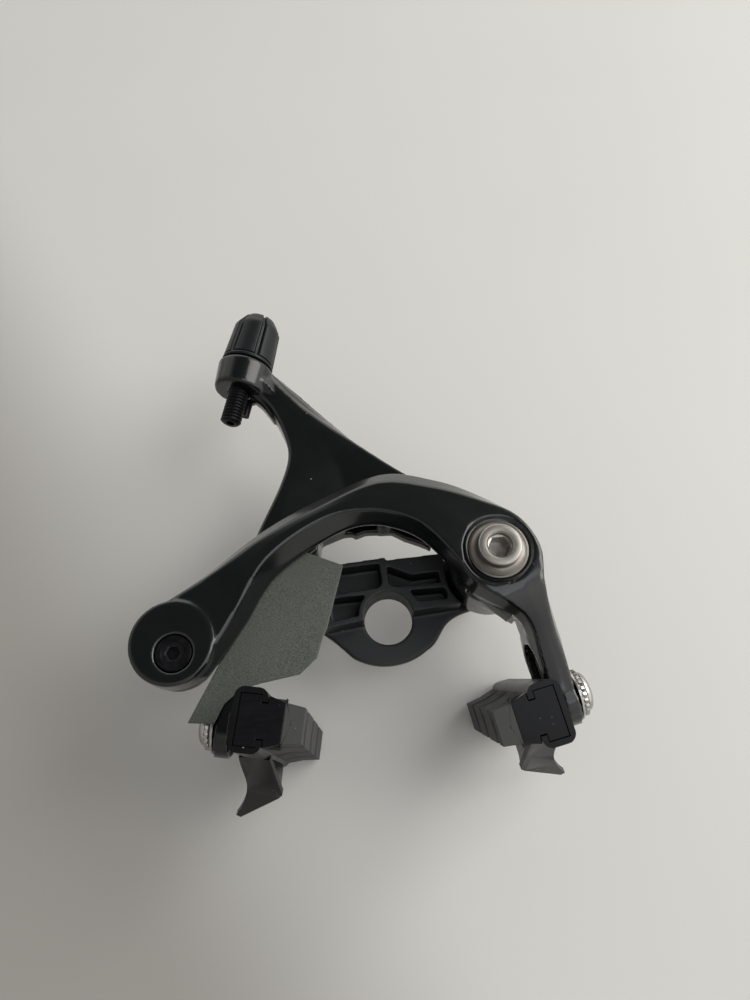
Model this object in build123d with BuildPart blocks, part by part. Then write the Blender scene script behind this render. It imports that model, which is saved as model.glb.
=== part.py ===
from build123d import *
import os
from math import cos, pi, radians, sin

# Direct mount rim brake caliper. Sizes are in millimetres.
# +Z runs along the mount bolts, out of the frame. +Y points away from the wheel, +X to the right.
# The origin lies on the mount plane, midway between the two mount bolts.

# Mount bolts, sleeves and pivots
pivot_spacing = 56.0
bolt_d = 6.0
bolt_shank_d = 5.3
bolt_reach = 14.0
thread_gap = 0.3
bolt_head_d = 11.0
front_head_h = 2.8
rear_head_h = 2.9
hex_across_flats = 5.0
hex_lead_d = 6.2
sleeve_wall = 1.85
washer_d = 15.0
washer_t = 1.0
bolt_clearance = 0.15
pivot_fit = 0.05
end_play = 0.3

# Mount plate
plate_t = 2.6
rib_top = 9.0
pocket_floor = 3.4
lug_d = 17.2
plate_hole_d = 13.0
plate_hole_y = -9.9
hole_rim_t = 1.6
boss_gap = 0.7

# Front arm: it turns on the right pivot and bows over the left one
front_boss_d = 22.0
front_boss_top = 26.2
boss_rim_h = 1.0
boss_recess_d = 17.4
bow_back = 19.4
bow_front = 27.4
bow_edge_h = 1.8
bow_edge_taper = 32.0
disc_d = 20.4
disc_x = -52.5
disc_y = -16.3
disc_front = 27.0
tab_t = 3.0
tab_left = -8.0
tab_right = 4.5
tab_back = 11.0

# Rear arm: it turns on the left pivot and carries the cable adjuster
rear_boss_d = 20.0
rear_boss_top = 13.4
rear_back = 6.0
rear_front = 17.4
rear_neck_back = 11.4
shelf_top = 10.0
shelf_pocket_top = 22.5
shoulder_front = 22.5

# Return springs in the back of each boss
spring_wire_d = 1.2
spring_mean_d = 13.2
spring_pitch = 1.75
spring_turns = 3
spring_cavity_d = 16.4
spring_cavity_depth = 6.6

# Legs, which hold the shoes, lean outward by the cant angle
cant = 11.0
left_shoe_x = 36.6
right_shoe_x = 35.8
shoe_y = -36.1
shoe_z = 11.0
leg_outer = 7.8
leg_outer_top = 6.9
leg_inner = 1.0
tab_inner = 3.9
leg_back = 4.6
leg_back_top = 9.0
leg_end_front = 17.0
leg_end_d = 12.4
leg_bend = 18.0
leg_root = 2.92
front_leg_front = 21.0
thin_length = 3.0
slot_d = 6.0
slot_low = -1.0
slot_high = 9.8
groove_d = 9.0

# Shoe holders, pads and shoe bolts, measured from the holder's back on the bolt axis
holder_h = 13.7
holder_depth = 7.4
holder_wall = 1.3
holder_length = 54.5
holder_end_t = 1.6
lip_h = 1.6
holder_radius = 2.2
insert_gap = 0.1
pad_neck_h = 7.4
pad_h = 10.8
pad_face_h = 7.4
insert_cap_depth = 11.3
insert_cap_t = 3.4
pad_depth = 15.6
groove_w = 1.2
groove_depth = 6.0
groove_pitch = 16.0
groove_cap_gap = 2.65
fin_t = 1.4
fin_root = 10.0
fin_slope = 26.3
fin_length = 30.6
fin_corner = 16.8
fin_web_end = -18.0
shoe_bolt_d = 5.0
shoe_fit = 0.05
holder_boss_d = 8.0
holder_boss_t = 1.2
dome_d = 8.4
outer_washer_d = 12.8
outer_washer_t = 0.8
lock_washer_d = 11.6
lock_washer_t = 1.1
shoe_head_d = 9.8
shoe_head_h = 1.9
shoe_hex = 4.0
face_gap = 0.1
right_shoe_tip = 8.5
right_shoe_toe = 3.5
toe_gap = 0.4
toe_room = 0.4
pad_screw_d = 2.4
pad_screw_end_gap = 9.25

# Cable adjuster on the rear arm
adjuster_x = -37.0
adjuster_y = 58.5
adjuster_z = 15.0
adjuster_lean = 15.5
adjuster_boss_d = 14.8
adjuster_boss_top_d = 16.2
adjuster_boss_low = -1.0
adjuster_boss_high = 7.4
thread_d = 5.9
thread_depth = 0.45
thread_pitch = 1.0
thread_low = -11.0
cable_bore_d = 2.4
knob_d = 15.0
knob_top_d = 13.6
knob_chamfer = 3.4
knob_length = 16.2
knob_flutes = 6
knob_flute_d = 3.4
ferrule_d = 6.2
ferrule_length = 8.0
housing_d = 5.1
housing_depth = 6.5
detent_d = 2.2
detent_length = 5.4
detent_offset = 2.6
detent_depth = 3.6

# Cable anchor on the front arm's disc
anchor_x = -51.9
anchor_y = -18.9
anchor_bolt_d = 5.0
anchor_head_d = 8.6
anchor_head_h = 2.6
anchor_rim_gap = 0.2
anchor_hex = 3.0
clamp_plate_d = 18.8
clamp_plate_t = 0.7
cable_gap = 1.6
clamp_washer_d = 12.0
clamp_washer_t = 1.8
anchor_nut_size = 8.0
anchor_nut_h = 4.0

# Link roller, centring screw and spring seat
roller_x = 1.0
roller_y = 14.8
roller_d = 4.8
roller_h = 5.0
roller_pin_d = 2.6
centring_d = 3.0
centring_head_d = 4.8
centring_head_h = 1.7
centring_height = 24.5
centring_depth = 4.6
centring_z = 14.0
seat_angle = -136.0
seat_distance = 8.6
seat_t = 1.7
seat_length = 12.4
seat_h = 3.6

# Foam sheet between the arms
sheet_t = 0.5
sheet_gap = 0.5

# Derived places
pivot_x = pivot_spacing / 2
sleeve_r = bolt_d / 2 + bolt_clearance + sleeve_wall
boss_back = plate_t + end_play
front_seat = front_boss_top + end_play
rear_seat = rear_boss_top + end_play
sheet_back = rear_front + sheet_gap
clamp_plate_back = bow_back - clamp_plate_t
clamp_washer_top = clamp_plate_back - cable_gap
anchor_nut_top = clamp_washer_top - clamp_washer_t
seat_thickness = (tab_inner - holder_boss_t - 2 * face_gap - toe_gap) / 2
tab_y = roller_y + roller_d / 2 + end_play
shoe_x = {-1: left_shoe_x, 1: right_shoe_x}
pad_screw_w = holder_length / 2 - pad_screw_end_gap
leg_length = (
    -shoe_y * cos(radians(cant))
    + (left_shoe_x - pivot_x) * sin(radians(cant))
    - rear_boss_d / 2
    + leg_root
)

# Where the bow's outline meets the right pivot boss
bow_right = (pivot_x + front_boss_d / 2 - 0.2, 1.0)
bow_low = (pivot_x - front_boss_d * 0.336, -front_boss_d * 0.382)

os.makedirs("parts", exist_ok=True)


def save(builder, name):
    """Label a finished piece and write its STEP file."""
    builder.part.label = name
    export_step(builder.part, f"parts/{name}.step")


def across(side, depth=0.0):
    """Plane square to the shoe bolt of one side.

    Local x is the part's Z and local y times side runs up the leg. Depth is measured from the
    holder's back towards the rim.
    """
    towards = Vector(-side * cos(radians(cant)), -sin(radians(cant)), 0)
    origin = Vector(side * shoe_x[side], shoe_y, 0) + towards * depth
    return Plane(origin=origin, x_dir=(0, 0, 1), z_dir=towards)


def shoe_plane(along=0.0):
    """Cross-section plane of the left shoe: local x to the rim, y up, z along the shoe."""
    towards = Vector(cos(radians(cant)), -sin(radians(cant)), 0)
    origin = Vector(-left_shoe_x, shoe_y, shoe_z + along)
    return Plane(origin=origin, x_dir=towards, z_dir=(0, 0, 1))


def adjuster_plane(along=0.0):
    """Plane square to the cable adjuster's axis, local z towards the knob."""
    axis = Vector(sin(radians(adjuster_lean)), cos(radians(adjuster_lean)), 0)
    origin = Vector(adjuster_x, adjuster_y, adjuster_z) + axis * along
    return Plane(origin=origin, x_dir=(0, 0, 1), z_dir=axis)


def adjuster_side_plane():
    """Plane through the cable adjuster's axis: local x is the part's Z, local y along the axis."""
    across_axis = Vector(-cos(radians(adjuster_lean)), sin(radians(adjuster_lean)), 0)
    return Plane(origin=(adjuster_x, adjuster_y, adjuster_z), x_dir=(0, 0, 1), z_dir=across_axis)


def shoe_axis(side):
    """Axis of the shoe bolt of one side, pointing to the rim."""
    return Axis((side * shoe_x[side], shoe_y, shoe_z), (-side * cos(radians(cant)), -sin(radians(cant)), 0))


def right_of(piece, toe):
    """The right-hand copy of a left shoe's piece, tipped about its bolt and then toed in."""
    copy = mirror(piece, about=Plane.YZ, mode=Mode.PRIVATE).translate((right_shoe_x - left_shoe_x, 0, 0))
    up = Vector(-sin(radians(cant)), cos(radians(cant)), 0)
    pivot = across(1, -holder_boss_t - seat_thickness).origin + Vector(0, 0, shoe_z)
    return copy.rotate(shoe_axis(1), -right_shoe_tip).rotate(Axis(pivot, up), -toe)


# Mount plate: a base with two lugs and a lobe, and a raised block of ribs over the round hole
with BuildPart() as mount_plate:
    with BuildSketch():
        with Locations((-pivot_x, 0), (pivot_x, 0)):
            Circle(lug_d / 2)
        with BuildLine():
            Polyline(
                (pivot_x, -lug_d / 2),
                (pivot_x, lug_d / 2),
                (19.0, 6.0),
                (0.6, 5.3),
                (0.5, 6.1),
                (-19.0, 4.9),
                (-pivot_x, lug_d / 2),
                (-pivot_x, -lug_d / 2),
            )
            Spline((-pivot_x, -lug_d / 2), (-22.0, -9.6), (-17.6, -12.1), (-13.6, -15.6), (-10.4, -18.9))
            ThreePointArc((-10.4, -18.9), (-1.0, -21.9), (9.8, -18.5))
            Spline((9.8, -18.5), (12.9, -15.8), (15.5, -12.2), (20.8, -9.3), (pivot_x, -lug_d / 2))
        make_face()
    extrude(amount=plate_t)
    with BuildSketch(Plane.XY.offset(plate_t)):
        with BuildLine():
            Polyline(
                (-17.4, -12.2),
                (0.0, plate_hole_y),
                (19.5, -8.4),
                (15.8, 5.9),
                (0.6, 5.3),
                (0.5, 6.1),
                (-17.4, 4.9),
                close=True,
            )
        make_face()
        with Locations((-pivot_x, 0)):
            Circle(rear_boss_d / 2 + boss_gap, mode=Mode.SUBTRACT)
        with Locations((pivot_x, 0)):
            Circle(front_boss_d / 2 + boss_gap, mode=Mode.SUBTRACT)
    extrude(amount=rib_top - plate_t)
    with BuildSketch(Plane.XY.offset(pocket_floor)) as plate_pockets:
        with BuildLine():
            Polyline((-15.6, 3.7), (-1.3, 4.5), (-1.1, -1.0), (-1.9, -2.2), (-15.6, -3.0), close=True)
        make_face()
        with BuildLine():
            Polyline((0.7, 3.6), (7.2, 0.5), (14.4, 0.9), (14.8, -2.4), (1.9, -2.4), (0.9, -1.4), close=True)
        make_face()
        with BuildLine():
            Polyline((-15.6, -4.3), (-6.1, -3.9), (-6.8, -9.2), (-15.6, -10.2), close=True)
        make_face()
        with BuildLine():
            Polyline((6.1, -3.6), (15.4, -3.6), (16.2, -5.0), (16.0, -6.9), (8.4, -6.9), close=True)
        make_face()
        with Locations((0, plate_hole_y)):
            Circle(plate_hole_d / 2 + hole_rim_t, mode=Mode.SUBTRACT)
    extrude(amount=rib_top - pocket_floor, mode=Mode.SUBTRACT)
    with Locations((0, plate_hole_y, 0)):
        Cylinder(
            plate_hole_d / 2, rib_top, align=(Align.CENTER, Align.CENTER, Align.MIN), mode=Mode.SUBTRACT
        )
    with Locations((-pivot_x, 0, 0), (pivot_x, 0, 0)):
        Cylinder(
            bolt_d / 2 + bolt_clearance,
            plate_t,
            align=(Align.CENTER, Align.CENTER, Align.MIN),
            mode=Mode.SUBTRACT,
        )
save(mount_plate, "mount_plate")


def tube(outer_r, inner_r, height, plane):
    """A plain ring standing on a plane."""
    with BuildPart() as ring:
        with BuildSketch(plane):
            Circle(outer_r)
            Circle(inner_r, mode=Mode.SUBTRACT)
        extrude(amount=height)
    return ring


def mount_bolt(x, seat, head_h):
    """Mount bolt with a round head, a hex socket, a slimmer shank and its thread below the plate."""
    with BuildPart() as bolt:
        with BuildSketch(Plane(origin=(x, 0, -bolt_reach))):
            Circle(bolt_d / 2)
        extrude(amount=bolt_reach - thread_gap)
        chamfer(bolt.edges().group_by(Axis.Z)[0], bolt_d / 10)
        with BuildSketch(Plane(origin=(x, 0, -thread_gap))):
            Circle(bolt_shank_d / 2)
        extrude(amount=thread_gap + seat + washer_t)
        with BuildSketch(Plane(origin=(x, 0, seat + washer_t))):
            Circle(bolt_head_d / 2)
        extrude(amount=head_h)
        chamfer(bolt.edges().group_by(Axis.Z)[-1], head_h / 6)
        with BuildSketch(Plane(origin=(x, 0, seat + washer_t + head_h))):
            RegularPolygon(hex_across_flats / 2, 6, major_radius=False)
        extrude(amount=-head_h * 1.7, mode=Mode.SUBTRACT)
        with BuildSketch(Plane(origin=(x, 0, seat + washer_t + head_h))):
            Circle(hex_lead_d / 2)
        extrude(amount=-head_h * 0.7, mode=Mode.SUBTRACT)
    return bolt


def mount_washer(x, seat):
    """Steel washer under a mount bolt head, with a coned rim."""
    with BuildPart() as washer:
        with BuildSketch(Plane(origin=(x, 0, seat))):
            Circle(washer_d / 2)
            Circle(bolt_d / 2 + bolt_clearance, mode=Mode.SUBTRACT)
        extrude(amount=washer_t)
        chamfer(washer.edges().group_by(Axis.Z)[-1].sort_by(SortBy.LENGTH)[-1], washer_t * 0.6)
    return washer


def quarter_turns(x, direction):
    """Centre line of a torsion spring: 3-D arcs of a quarter turn, climbing at a steady rate."""
    start_z = boss_back + spring_wire_d / 2 + 0.1
    radius = spring_mean_d / 2

    def point(turn):
        angle = direction * 2 * pi * turn
        return (x + radius * cos(angle), radius * sin(angle), start_z + spring_pitch * turn)

    arcs = []
    for step in range(spring_turns * 4):
        turn = step / 4
        arcs.append(ThreePointArc(point(turn), point(turn + 0.125), point(turn + 0.25)))
    return arcs


def return_spring(x, direction):
    """Torsion spring round a sleeve, one unbroken wire with curls from the formula above."""
    with BuildPart() as spring:
        with BuildLine() as path:
            for arc in quarter_turns(x, direction):
                add(arc)
        with BuildSketch(Plane(path.line @ 0, z_dir=path.line % 0)):
            Circle(spring_wire_d / 2)
        sweep(is_frenet=True)
    return spring


for side_name, x, seat, head_h, direction in (
    ("left", -pivot_x, rear_seat, rear_head_h, 1),
    ("right", pivot_x, front_seat, front_head_h, -1),
):
    sleeve = tube(
        sleeve_r, bolt_d / 2 + bolt_clearance, seat - plate_t, Plane(origin=(x, 0, plate_t))
    )
    save(sleeve, f"{side_name}_pivot_sleeve")
    save(mount_bolt(x, seat, head_h), f"{side_name}_mount_bolt")
    save(mount_washer(x, seat), f"{side_name}_mount_washer")
    save(return_spring(x, direction), f"{side_name}_return_spring")

print("least gap between spring curls, mm:", round(spring_pitch - spring_wire_d, 2))


def leg_plane(side):
    """Plan plane of one leg: local x to the rim, local y times minus side up the leg."""
    towards = Vector(-side * cos(radians(cant)), -sin(radians(cant)), 0)
    return Plane(origin=(side * shoe_x[side], shoe_y, 0), x_dir=towards, z_dir=(0, 0, 1))


def leg_solid(side, front):
    """Leg of an arm: a thin end with the shoe slot, a thicker upper part with a washer groove."""
    with BuildPart() as leg:
        with BuildSketch(leg_plane(side)):
            with BuildLine():
                Polyline(
                    (-leg_outer, side * leg_end_d),
                    (-leg_outer, -side * thin_length),
                    (-leg_outer_top, -side * leg_bend),
                    (-leg_outer_top, -side * leg_length),
                    (-leg_inner, -side * leg_length),
                    (-leg_inner, -side * thin_length),
                    (-tab_inner, -side * thin_length),
                    (-tab_inner, side * leg_end_d),
                    close=True,
                )
            make_face()
        extrude(amount=front)
        with BuildSketch(across(side, -leg_outer)):
            with BuildLine():
                Polyline(
                    (leg_back, 0),
                    (leg_end_front, 0),
                    (front, side * leg_bend),
                    (front, side * leg_length),
                    (leg_back_top, side * leg_length),
                    (leg_back_top, side * leg_bend),
                    close=True,
                )
            make_face()
            with Locations(((leg_back + leg_end_front) / 2, side * slot_low)):
                Circle(leg_end_d / 2)
        extrude(amount=leg_outer, mode=Mode.INTERSECT)
        with BuildSketch(across(side, -leg_outer)):
            with Locations((shoe_z, side * (slot_low + slot_high) / 2)):
                SlotCenterToCenter(slot_high - slot_low, slot_d, rotation=90)
        extrude(amount=leg_outer, mode=Mode.SUBTRACT)
        with BuildSketch(across(side, -tab_inner)):
            with Locations((shoe_z, side * (slot_low + slot_high) / 2)):
                SlotCenterToCenter(slot_high - slot_low, groove_d, rotation=90)
        extrude(amount=tab_inner, mode=Mode.SUBTRACT)
    return leg.part


def centring_hole():
    """Hole across the front arm's leg for the centring screw."""
    with BuildPart() as hole:
        with BuildSketch(across(1, -leg_outer)):
            with Locations((centring_z, centring_height)):
                Circle(centring_d / 2 + pivot_fit)
        extrude(amount=centring_depth + leg_outer - leg_outer_top)
    return hole.part


def seat_block(thickness):
    """Block of the spring seat's plan and height, standing outward from its back face."""
    with BuildPart() as block:
        with BuildSketch(seat_plane(seat_distance)):
            with Locations((bow_back - seat_h / 2, -seat_length / 2)):
                Rectangle(seat_h, seat_length)
        extrude(amount=thickness)
    return block


def seat_plane(distance):
    """Plane facing outward from the right pivot, on which the spring seat lies."""
    out = Vector(cos(radians(seat_angle)), sin(radians(seat_angle)), 0)
    origin = Vector(pivot_x, 0, 0) + out * distance
    return Plane(origin=origin, x_dir=(0, 0, 1), z_dir=out)


# Front arm: bow, disc, pivot boss, leg and the tab that the link roller lifts
with BuildPart() as front_arm:
    with BuildSketch(Plane.XY.offset(bow_back)) as bow_outline:
        with BuildLine():
            Spline(
                (-57.6, -7.2),
                (-44.8, 0.6),
                (-31.9, 9.6),
                (-17.8, 17.2),
                (0.2, 23.7),
                (14.9, 20.8),
                (26.6, 15.2),
                (34.6, 9.2),
                bow_right,
            )
            Line(bow_right, (pivot_x, -front_boss_d / 2))
            Line((pivot_x, -front_boss_d / 2), bow_low)
            Spline(
                bow_low,
                (16.0, -0.8),
                (8.4, 7.6),
                (-2.4, 11.6),
                (-13.4, 9.2),
                (-28.0, -0.4),
                (-36.2, -12.4),
                (-45.4, -24.2),
            )
            Line((-45.4, -24.2), (-57.6, -7.2))
        make_face()
        with Locations((disc_x, disc_y)):
            Circle(disc_d / 2)
    extrude(amount=bow_front - bow_edge_h - bow_back)
    with BuildSketch(Plane.XY.offset(bow_front - bow_edge_h)):
        add(bow_outline.sketch)
        with Locations((disc_x, disc_y)):
            Circle(disc_d / 2 + bow_edge_h, mode=Mode.SUBTRACT)
    extrude(amount=bow_edge_h, taper=bow_edge_taper)
    with BuildSketch(Plane.XY.offset(bow_back)):
        with Locations((disc_x, disc_y)):
            Circle(disc_d / 2)
    extrude(amount=disc_front - bow_back)
    with BuildSketch(Plane.XY.offset(boss_back)):
        with Locations((pivot_x, 0)):
            Circle(front_boss_d / 2)
    extrude(amount=front_boss_top + boss_rim_h - boss_back)
    with BuildSketch(Plane.XY.offset(tab_back)):
        with BuildLine():
            Polyline((19.0, 17.6), (34.0, 9.0), (36.0, 0.0), (20.6, -6.0), (17.0, 0.0), close=True)
        make_face()
    extrude(amount=bow_back - tab_back)
    with BuildSketch(Plane.XY.offset(tab_back)):
        with BuildLine():
            Polyline(
                (tab_left, tab_y),
                (tab_right, tab_y),
                (tab_right, tab_y + tab_t),
                (tab_left, tab_y + tab_t),
                close=True,
            )
        make_face()
    extrude(amount=bow_back - tab_back)
    with BuildSketch(Plane.XY.offset(tab_back)):
        with BuildLine():
            Polyline((38.8, 1.0), (38.0, -4.8), (37.2, -8.8), (31.4, -15.9), (20.9, -7.5), close=True)
        make_face()
    extrude(amount=shoulder_front - tab_back)
    add(seat_block(seat_t * 4).part, mode=Mode.SUBTRACT)
    add(leg_solid(1, front_leg_front))
    add(centring_hole(), mode=Mode.SUBTRACT)
    with BuildSketch(Plane.XY.offset(boss_back)):
        with Locations((pivot_x, 0)):
            Circle(sleeve_r + pivot_fit)
    extrude(amount=bow_front, mode=Mode.SUBTRACT)
    with BuildSketch(Plane.XY.offset(front_boss_top)):
        with Locations((pivot_x, 0)):
            Circle(boss_recess_d / 2)
    extrude(amount=bow_front, mode=Mode.SUBTRACT)
    with BuildSketch(Plane.XY.offset(boss_back)):
        with Locations((pivot_x, 0)):
            Circle(spring_cavity_d / 2)
    extrude(amount=spring_cavity_depth, mode=Mode.SUBTRACT)
    with BuildSketch(Plane.XY.offset(bow_back)):
        with Locations((anchor_x, anchor_y)):
            Circle(anchor_bolt_d / 2 + pivot_fit)
    extrude(amount=disc_front - bow_back, mode=Mode.SUBTRACT)
    with BuildSketch(Plane.XY.offset(disc_front - anchor_head_h)):
        with Locations((anchor_x, anchor_y)):
            Circle(anchor_head_d / 2 + anchor_rim_gap)
    extrude(amount=bow_front, mode=Mode.SUBTRACT)
save(front_arm, "front_arm")

# Cable anchor: bolt through the disc, thin plate against it, clamp washer and nut behind
with BuildPart() as cable_anchor_bolt:
    with BuildSketch(Plane(origin=(anchor_x, anchor_y, disc_front - anchor_head_h))):
        Circle(anchor_head_d / 2)
    extrude(amount=anchor_head_h - face_gap)
    chamfer(cable_anchor_bolt.edges().group_by(Axis.Z)[-1], anchor_head_h / 8)
    with BuildSketch(Plane(origin=(anchor_x, anchor_y, disc_front - face_gap))):
        RegularPolygon(anchor_hex / 2, 6, major_radius=False)
    extrude(amount=-anchor_head_h * 0.7, mode=Mode.SUBTRACT)
    with BuildSketch(Plane(origin=(anchor_x, anchor_y, anchor_nut_top - anchor_nut_h - 0.8))):
        Circle(anchor_bolt_d / 2)
    extrude(amount=disc_front - anchor_head_h - anchor_nut_top + anchor_nut_h + 0.8)
save(cable_anchor_bolt, "cable_anchor_bolt")

with BuildPart() as cable_clamp_plate:
    with BuildSketch(Plane.XY.offset(clamp_plate_back)):
        with Locations((disc_x + 0.6, disc_y - 0.9)):
            Circle(clamp_plate_d / 2)
        with Locations((anchor_x, anchor_y)):
            Circle(anchor_bolt_d / 2 + pivot_fit, mode=Mode.SUBTRACT)
    extrude(amount=clamp_plate_t)
save(cable_clamp_plate, "cable_clamp_plate")

cable_clamp_washer = tube(
    clamp_washer_d / 2,
    anchor_bolt_d / 2 + pivot_fit,
    clamp_washer_t,
    Plane(origin=(anchor_x, anchor_y, anchor_nut_top)),
)
save(cable_clamp_washer, "cable_clamp_washer")

with BuildPart() as cable_anchor_nut:
    with BuildSketch(Plane(origin=(anchor_x, anchor_y, anchor_nut_top - anchor_nut_h))):
        RegularPolygon(anchor_nut_size / 2, 6, major_radius=False)
        Circle(anchor_bolt_d / 2 + pivot_fit, mode=Mode.SUBTRACT)
    extrude(amount=anchor_nut_h)
save(cable_anchor_nut, "cable_anchor_nut")

with BuildPart() as centring_screw:
    with BuildSketch(across(1, -leg_outer_top - face_gap)):
        with Locations((centring_z, centring_height)):
            Circle(centring_head_d / 2)
    extrude(amount=-centring_head_h)
    with BuildSketch(across(1, -leg_outer_top - face_gap)):
        with Locations((centring_z, centring_height)):
            Circle(centring_d / 2)
    extrude(amount=centring_depth)
save(centring_screw, "centring_screw")

spring_seat = seat_block(seat_t)
save(spring_seat, "spring_seat")

# Rear arm: pivot boss, Y shaped web, adjuster boss, leg and the shelf for the link roller
with BuildPart() as rear_arm:
    with BuildSketch(Plane.XY.offset(rear_back)):
        with BuildLine():
            Spline((-27.4, 63.4), (-15.7, 49.6), (-4.9, 38.6), (7.4, 28.0), (14.6, 23.4))
            Polyline(
                (14.6, 23.4),
                (13.4, shelf_pocket_top - 4.0),
                (6.0, shelf_pocket_top - 1.0),
                (3.0, shelf_pocket_top),
                (tab_left - 1.5, shelf_pocket_top),
                (tab_left - 1.5, 13.6),
                (-16.3, 11.3),
                (-17.2, 7.0),
                (-20.0, 5.0),
                (-37.2, 3.4),
            )
            Spline(
                (-37.2, 3.4),
                (-32.6, 14.0),
                (-26.6, 26.4),
                (-23.9, 35.2),
                (-24.2, 40.0),
                (-26.0, 45.3),
                (-28.7, 51.4),
                (-34.4, 58.4),
            )
            Line((-34.4, 58.4), (-27.4, 63.4))
        make_face()
    extrude(amount=rear_front - rear_back)
    with BuildSketch(Plane.YZ.offset(-pivot_spacing)):
        with BuildLine():
            Polyline(
                (26.0, rear_back),
                (66.0, rear_back),
                (66.0, rear_neck_back),
                (50.0, rear_neck_back),
                close=True,
            )
        make_face()
    extrude(amount=pivot_spacing, mode=Mode.SUBTRACT)
    with BuildSketch(adjuster_plane(adjuster_boss_low)):
        Circle(adjuster_boss_d / 2)
    with BuildSketch(adjuster_plane(adjuster_boss_high)):
        Circle(adjuster_boss_top_d / 2)
    loft()
    with BuildSketch(Plane.XY.offset(rear_back)):
        with BuildLine():
            Polyline(
                (tab_left - 2.5, 13.3),
                (tab_left, 13.4),
                (-7.0, 12.6),
                (-4.1, 13.5),
                (3.1, 12.9),
                (6.3, 10.8),
                (10.6, 8.9),
                (13.4, 7.2),
                (13.4, shelf_pocket_top - 3),
                (3.0, shelf_pocket_top + 1),
                (tab_left - 2.5, shelf_pocket_top + 1),
                close=True,
            )
        make_face()
    extrude(amount=shelf_top - rear_back)
    with BuildSketch(Plane.XY.offset(boss_back)):
        with Locations((-pivot_x, 0)):
            Circle(rear_boss_d / 2)
    extrude(amount=rear_boss_top - boss_back)
    add(leg_solid(-1, rear_front))
    with BuildSketch(Plane.XY.offset(rear_boss_top)):
        with Locations((-pivot_x, 0)):
            Circle(washer_d / 2 + boss_gap)
    extrude(amount=rear_front, mode=Mode.SUBTRACT)
    with BuildSketch(Plane.XY.offset(boss_back)):
        with Locations((-pivot_x, 0)):
            Circle(sleeve_r + pivot_fit)
    extrude(amount=rear_front, mode=Mode.SUBTRACT)
    with BuildSketch(Plane.XY.offset(boss_back)):
        with Locations((-pivot_x, 0)):
            Circle(spring_cavity_d / 2)
    extrude(amount=spring_cavity_depth, mode=Mode.SUBTRACT)
    with BuildSketch(Plane.XY.offset(rear_back)):
        with Locations((roller_x, roller_y)):
            Circle(roller_pin_d / 2)
    extrude(amount=shelf_top - rear_back, mode=Mode.SUBTRACT)
    with BuildSketch(adjuster_plane(adjuster_boss_low)):
        Circle(thread_d / 2 + pivot_fit)
    extrude(amount=adjuster_boss_high - adjuster_boss_low, mode=Mode.SUBTRACT)
save(rear_arm, "rear_arm")

# Link roller on its pin, which lifts the front arm's tab when the rear arm turns
with BuildPart() as link_roller_pin:
    with BuildSketch(Plane(origin=(roller_x, roller_y, rear_back))):
        Circle(roller_pin_d / 2)
    extrude(amount=shelf_top - rear_back + end_play * 2 + roller_h)
    with BuildSketch(Plane(origin=(roller_x, roller_y, shelf_top + end_play * 2 + roller_h))):
        Circle(roller_pin_d * 0.75)
    extrude(amount=end_play * 2)
save(link_roller_pin, "link_roller_pin")

link_roller = tube(
    roller_d / 2,
    roller_pin_d / 2 + pivot_fit,
    roller_h,
    Plane(origin=(roller_x, roller_y, shelf_top + end_play)),
)
save(link_roller, "link_roller")

# Cable adjuster: threaded barrel, fluted knob, ferrule for the housing and a detent pin
knob_base = adjuster_boss_high + 0.6
knob_end = knob_base + knob_length
barrel_top = knob_end - ferrule_length - 0.6
with BuildPart() as adjuster_barrel:
    with BuildSketch(adjuster_side_plane()):
        with BuildLine():
            ridge_points = [(cable_bore_d / 2, thread_low)]
            ridge_z = thread_low
            while ridge_z + thread_pitch < adjuster_boss_low:
                ridge_points += [
                    (thread_d / 2 - thread_depth, ridge_z),
                    (thread_d / 2, ridge_z + thread_pitch * 0.35),
                    (thread_d / 2, ridge_z + thread_pitch * 0.65),
                ]
                ridge_z += thread_pitch
            ridge_points += [
                (thread_d / 2 - thread_depth, ridge_z),
                (thread_d / 2, ridge_z + thread_pitch * 0.35),
                (thread_d / 2, barrel_top),
                (cable_bore_d / 2, barrel_top),
            ]
            Polyline(*ridge_points, close=True)
        make_face()
    revolve(axis=Axis(adjuster_plane(0).origin, adjuster_plane(0).z_dir))
save(adjuster_barrel, "adjuster_barrel")

with BuildPart() as adjuster_knob:
    with BuildSketch(adjuster_plane(knob_base)):
        Circle(knob_d / 2)
    with BuildSketch(adjuster_plane(knob_end - knob_chamfer)):
        Circle(knob_top_d / 2)
    loft()
    with BuildSketch(adjuster_plane(knob_end - knob_chamfer)):
        Circle(knob_top_d / 2)
    with BuildSketch(adjuster_plane(knob_end)):
        Circle(knob_top_d / 2 - knob_chamfer * 0.7)
    loft()
    with BuildSketch(adjuster_plane(knob_base)):
        with PolarLocations(knob_d / 2 + knob_flute_d * 0.28, knob_flutes):
            Circle(knob_flute_d / 2)
    extrude(amount=knob_length, mode=Mode.SUBTRACT)
    with BuildSketch(adjuster_plane(knob_base)):
        Circle(thread_d / 2)
    extrude(amount=knob_length, mode=Mode.SUBTRACT)
    with BuildSketch(adjuster_plane(knob_end - ferrule_length - 0.6)):
        Circle(ferrule_d / 2 + pivot_fit)
    extrude(amount=knob_length, mode=Mode.SUBTRACT)
save(adjuster_knob, "adjuster_knob")

with BuildPart() as adjuster_ferrule:
    with BuildSketch(adjuster_plane(knob_end - ferrule_length)):
        Circle(ferrule_d / 2)
        Circle(cable_bore_d / 2, mode=Mode.SUBTRACT)
    extrude(amount=ferrule_length)
    with BuildSketch(adjuster_plane(knob_end - housing_depth)):
        Circle(housing_d / 2)
    extrude(amount=housing_depth, mode=Mode.SUBTRACT)
save(adjuster_ferrule, "adjuster_ferrule")

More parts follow.
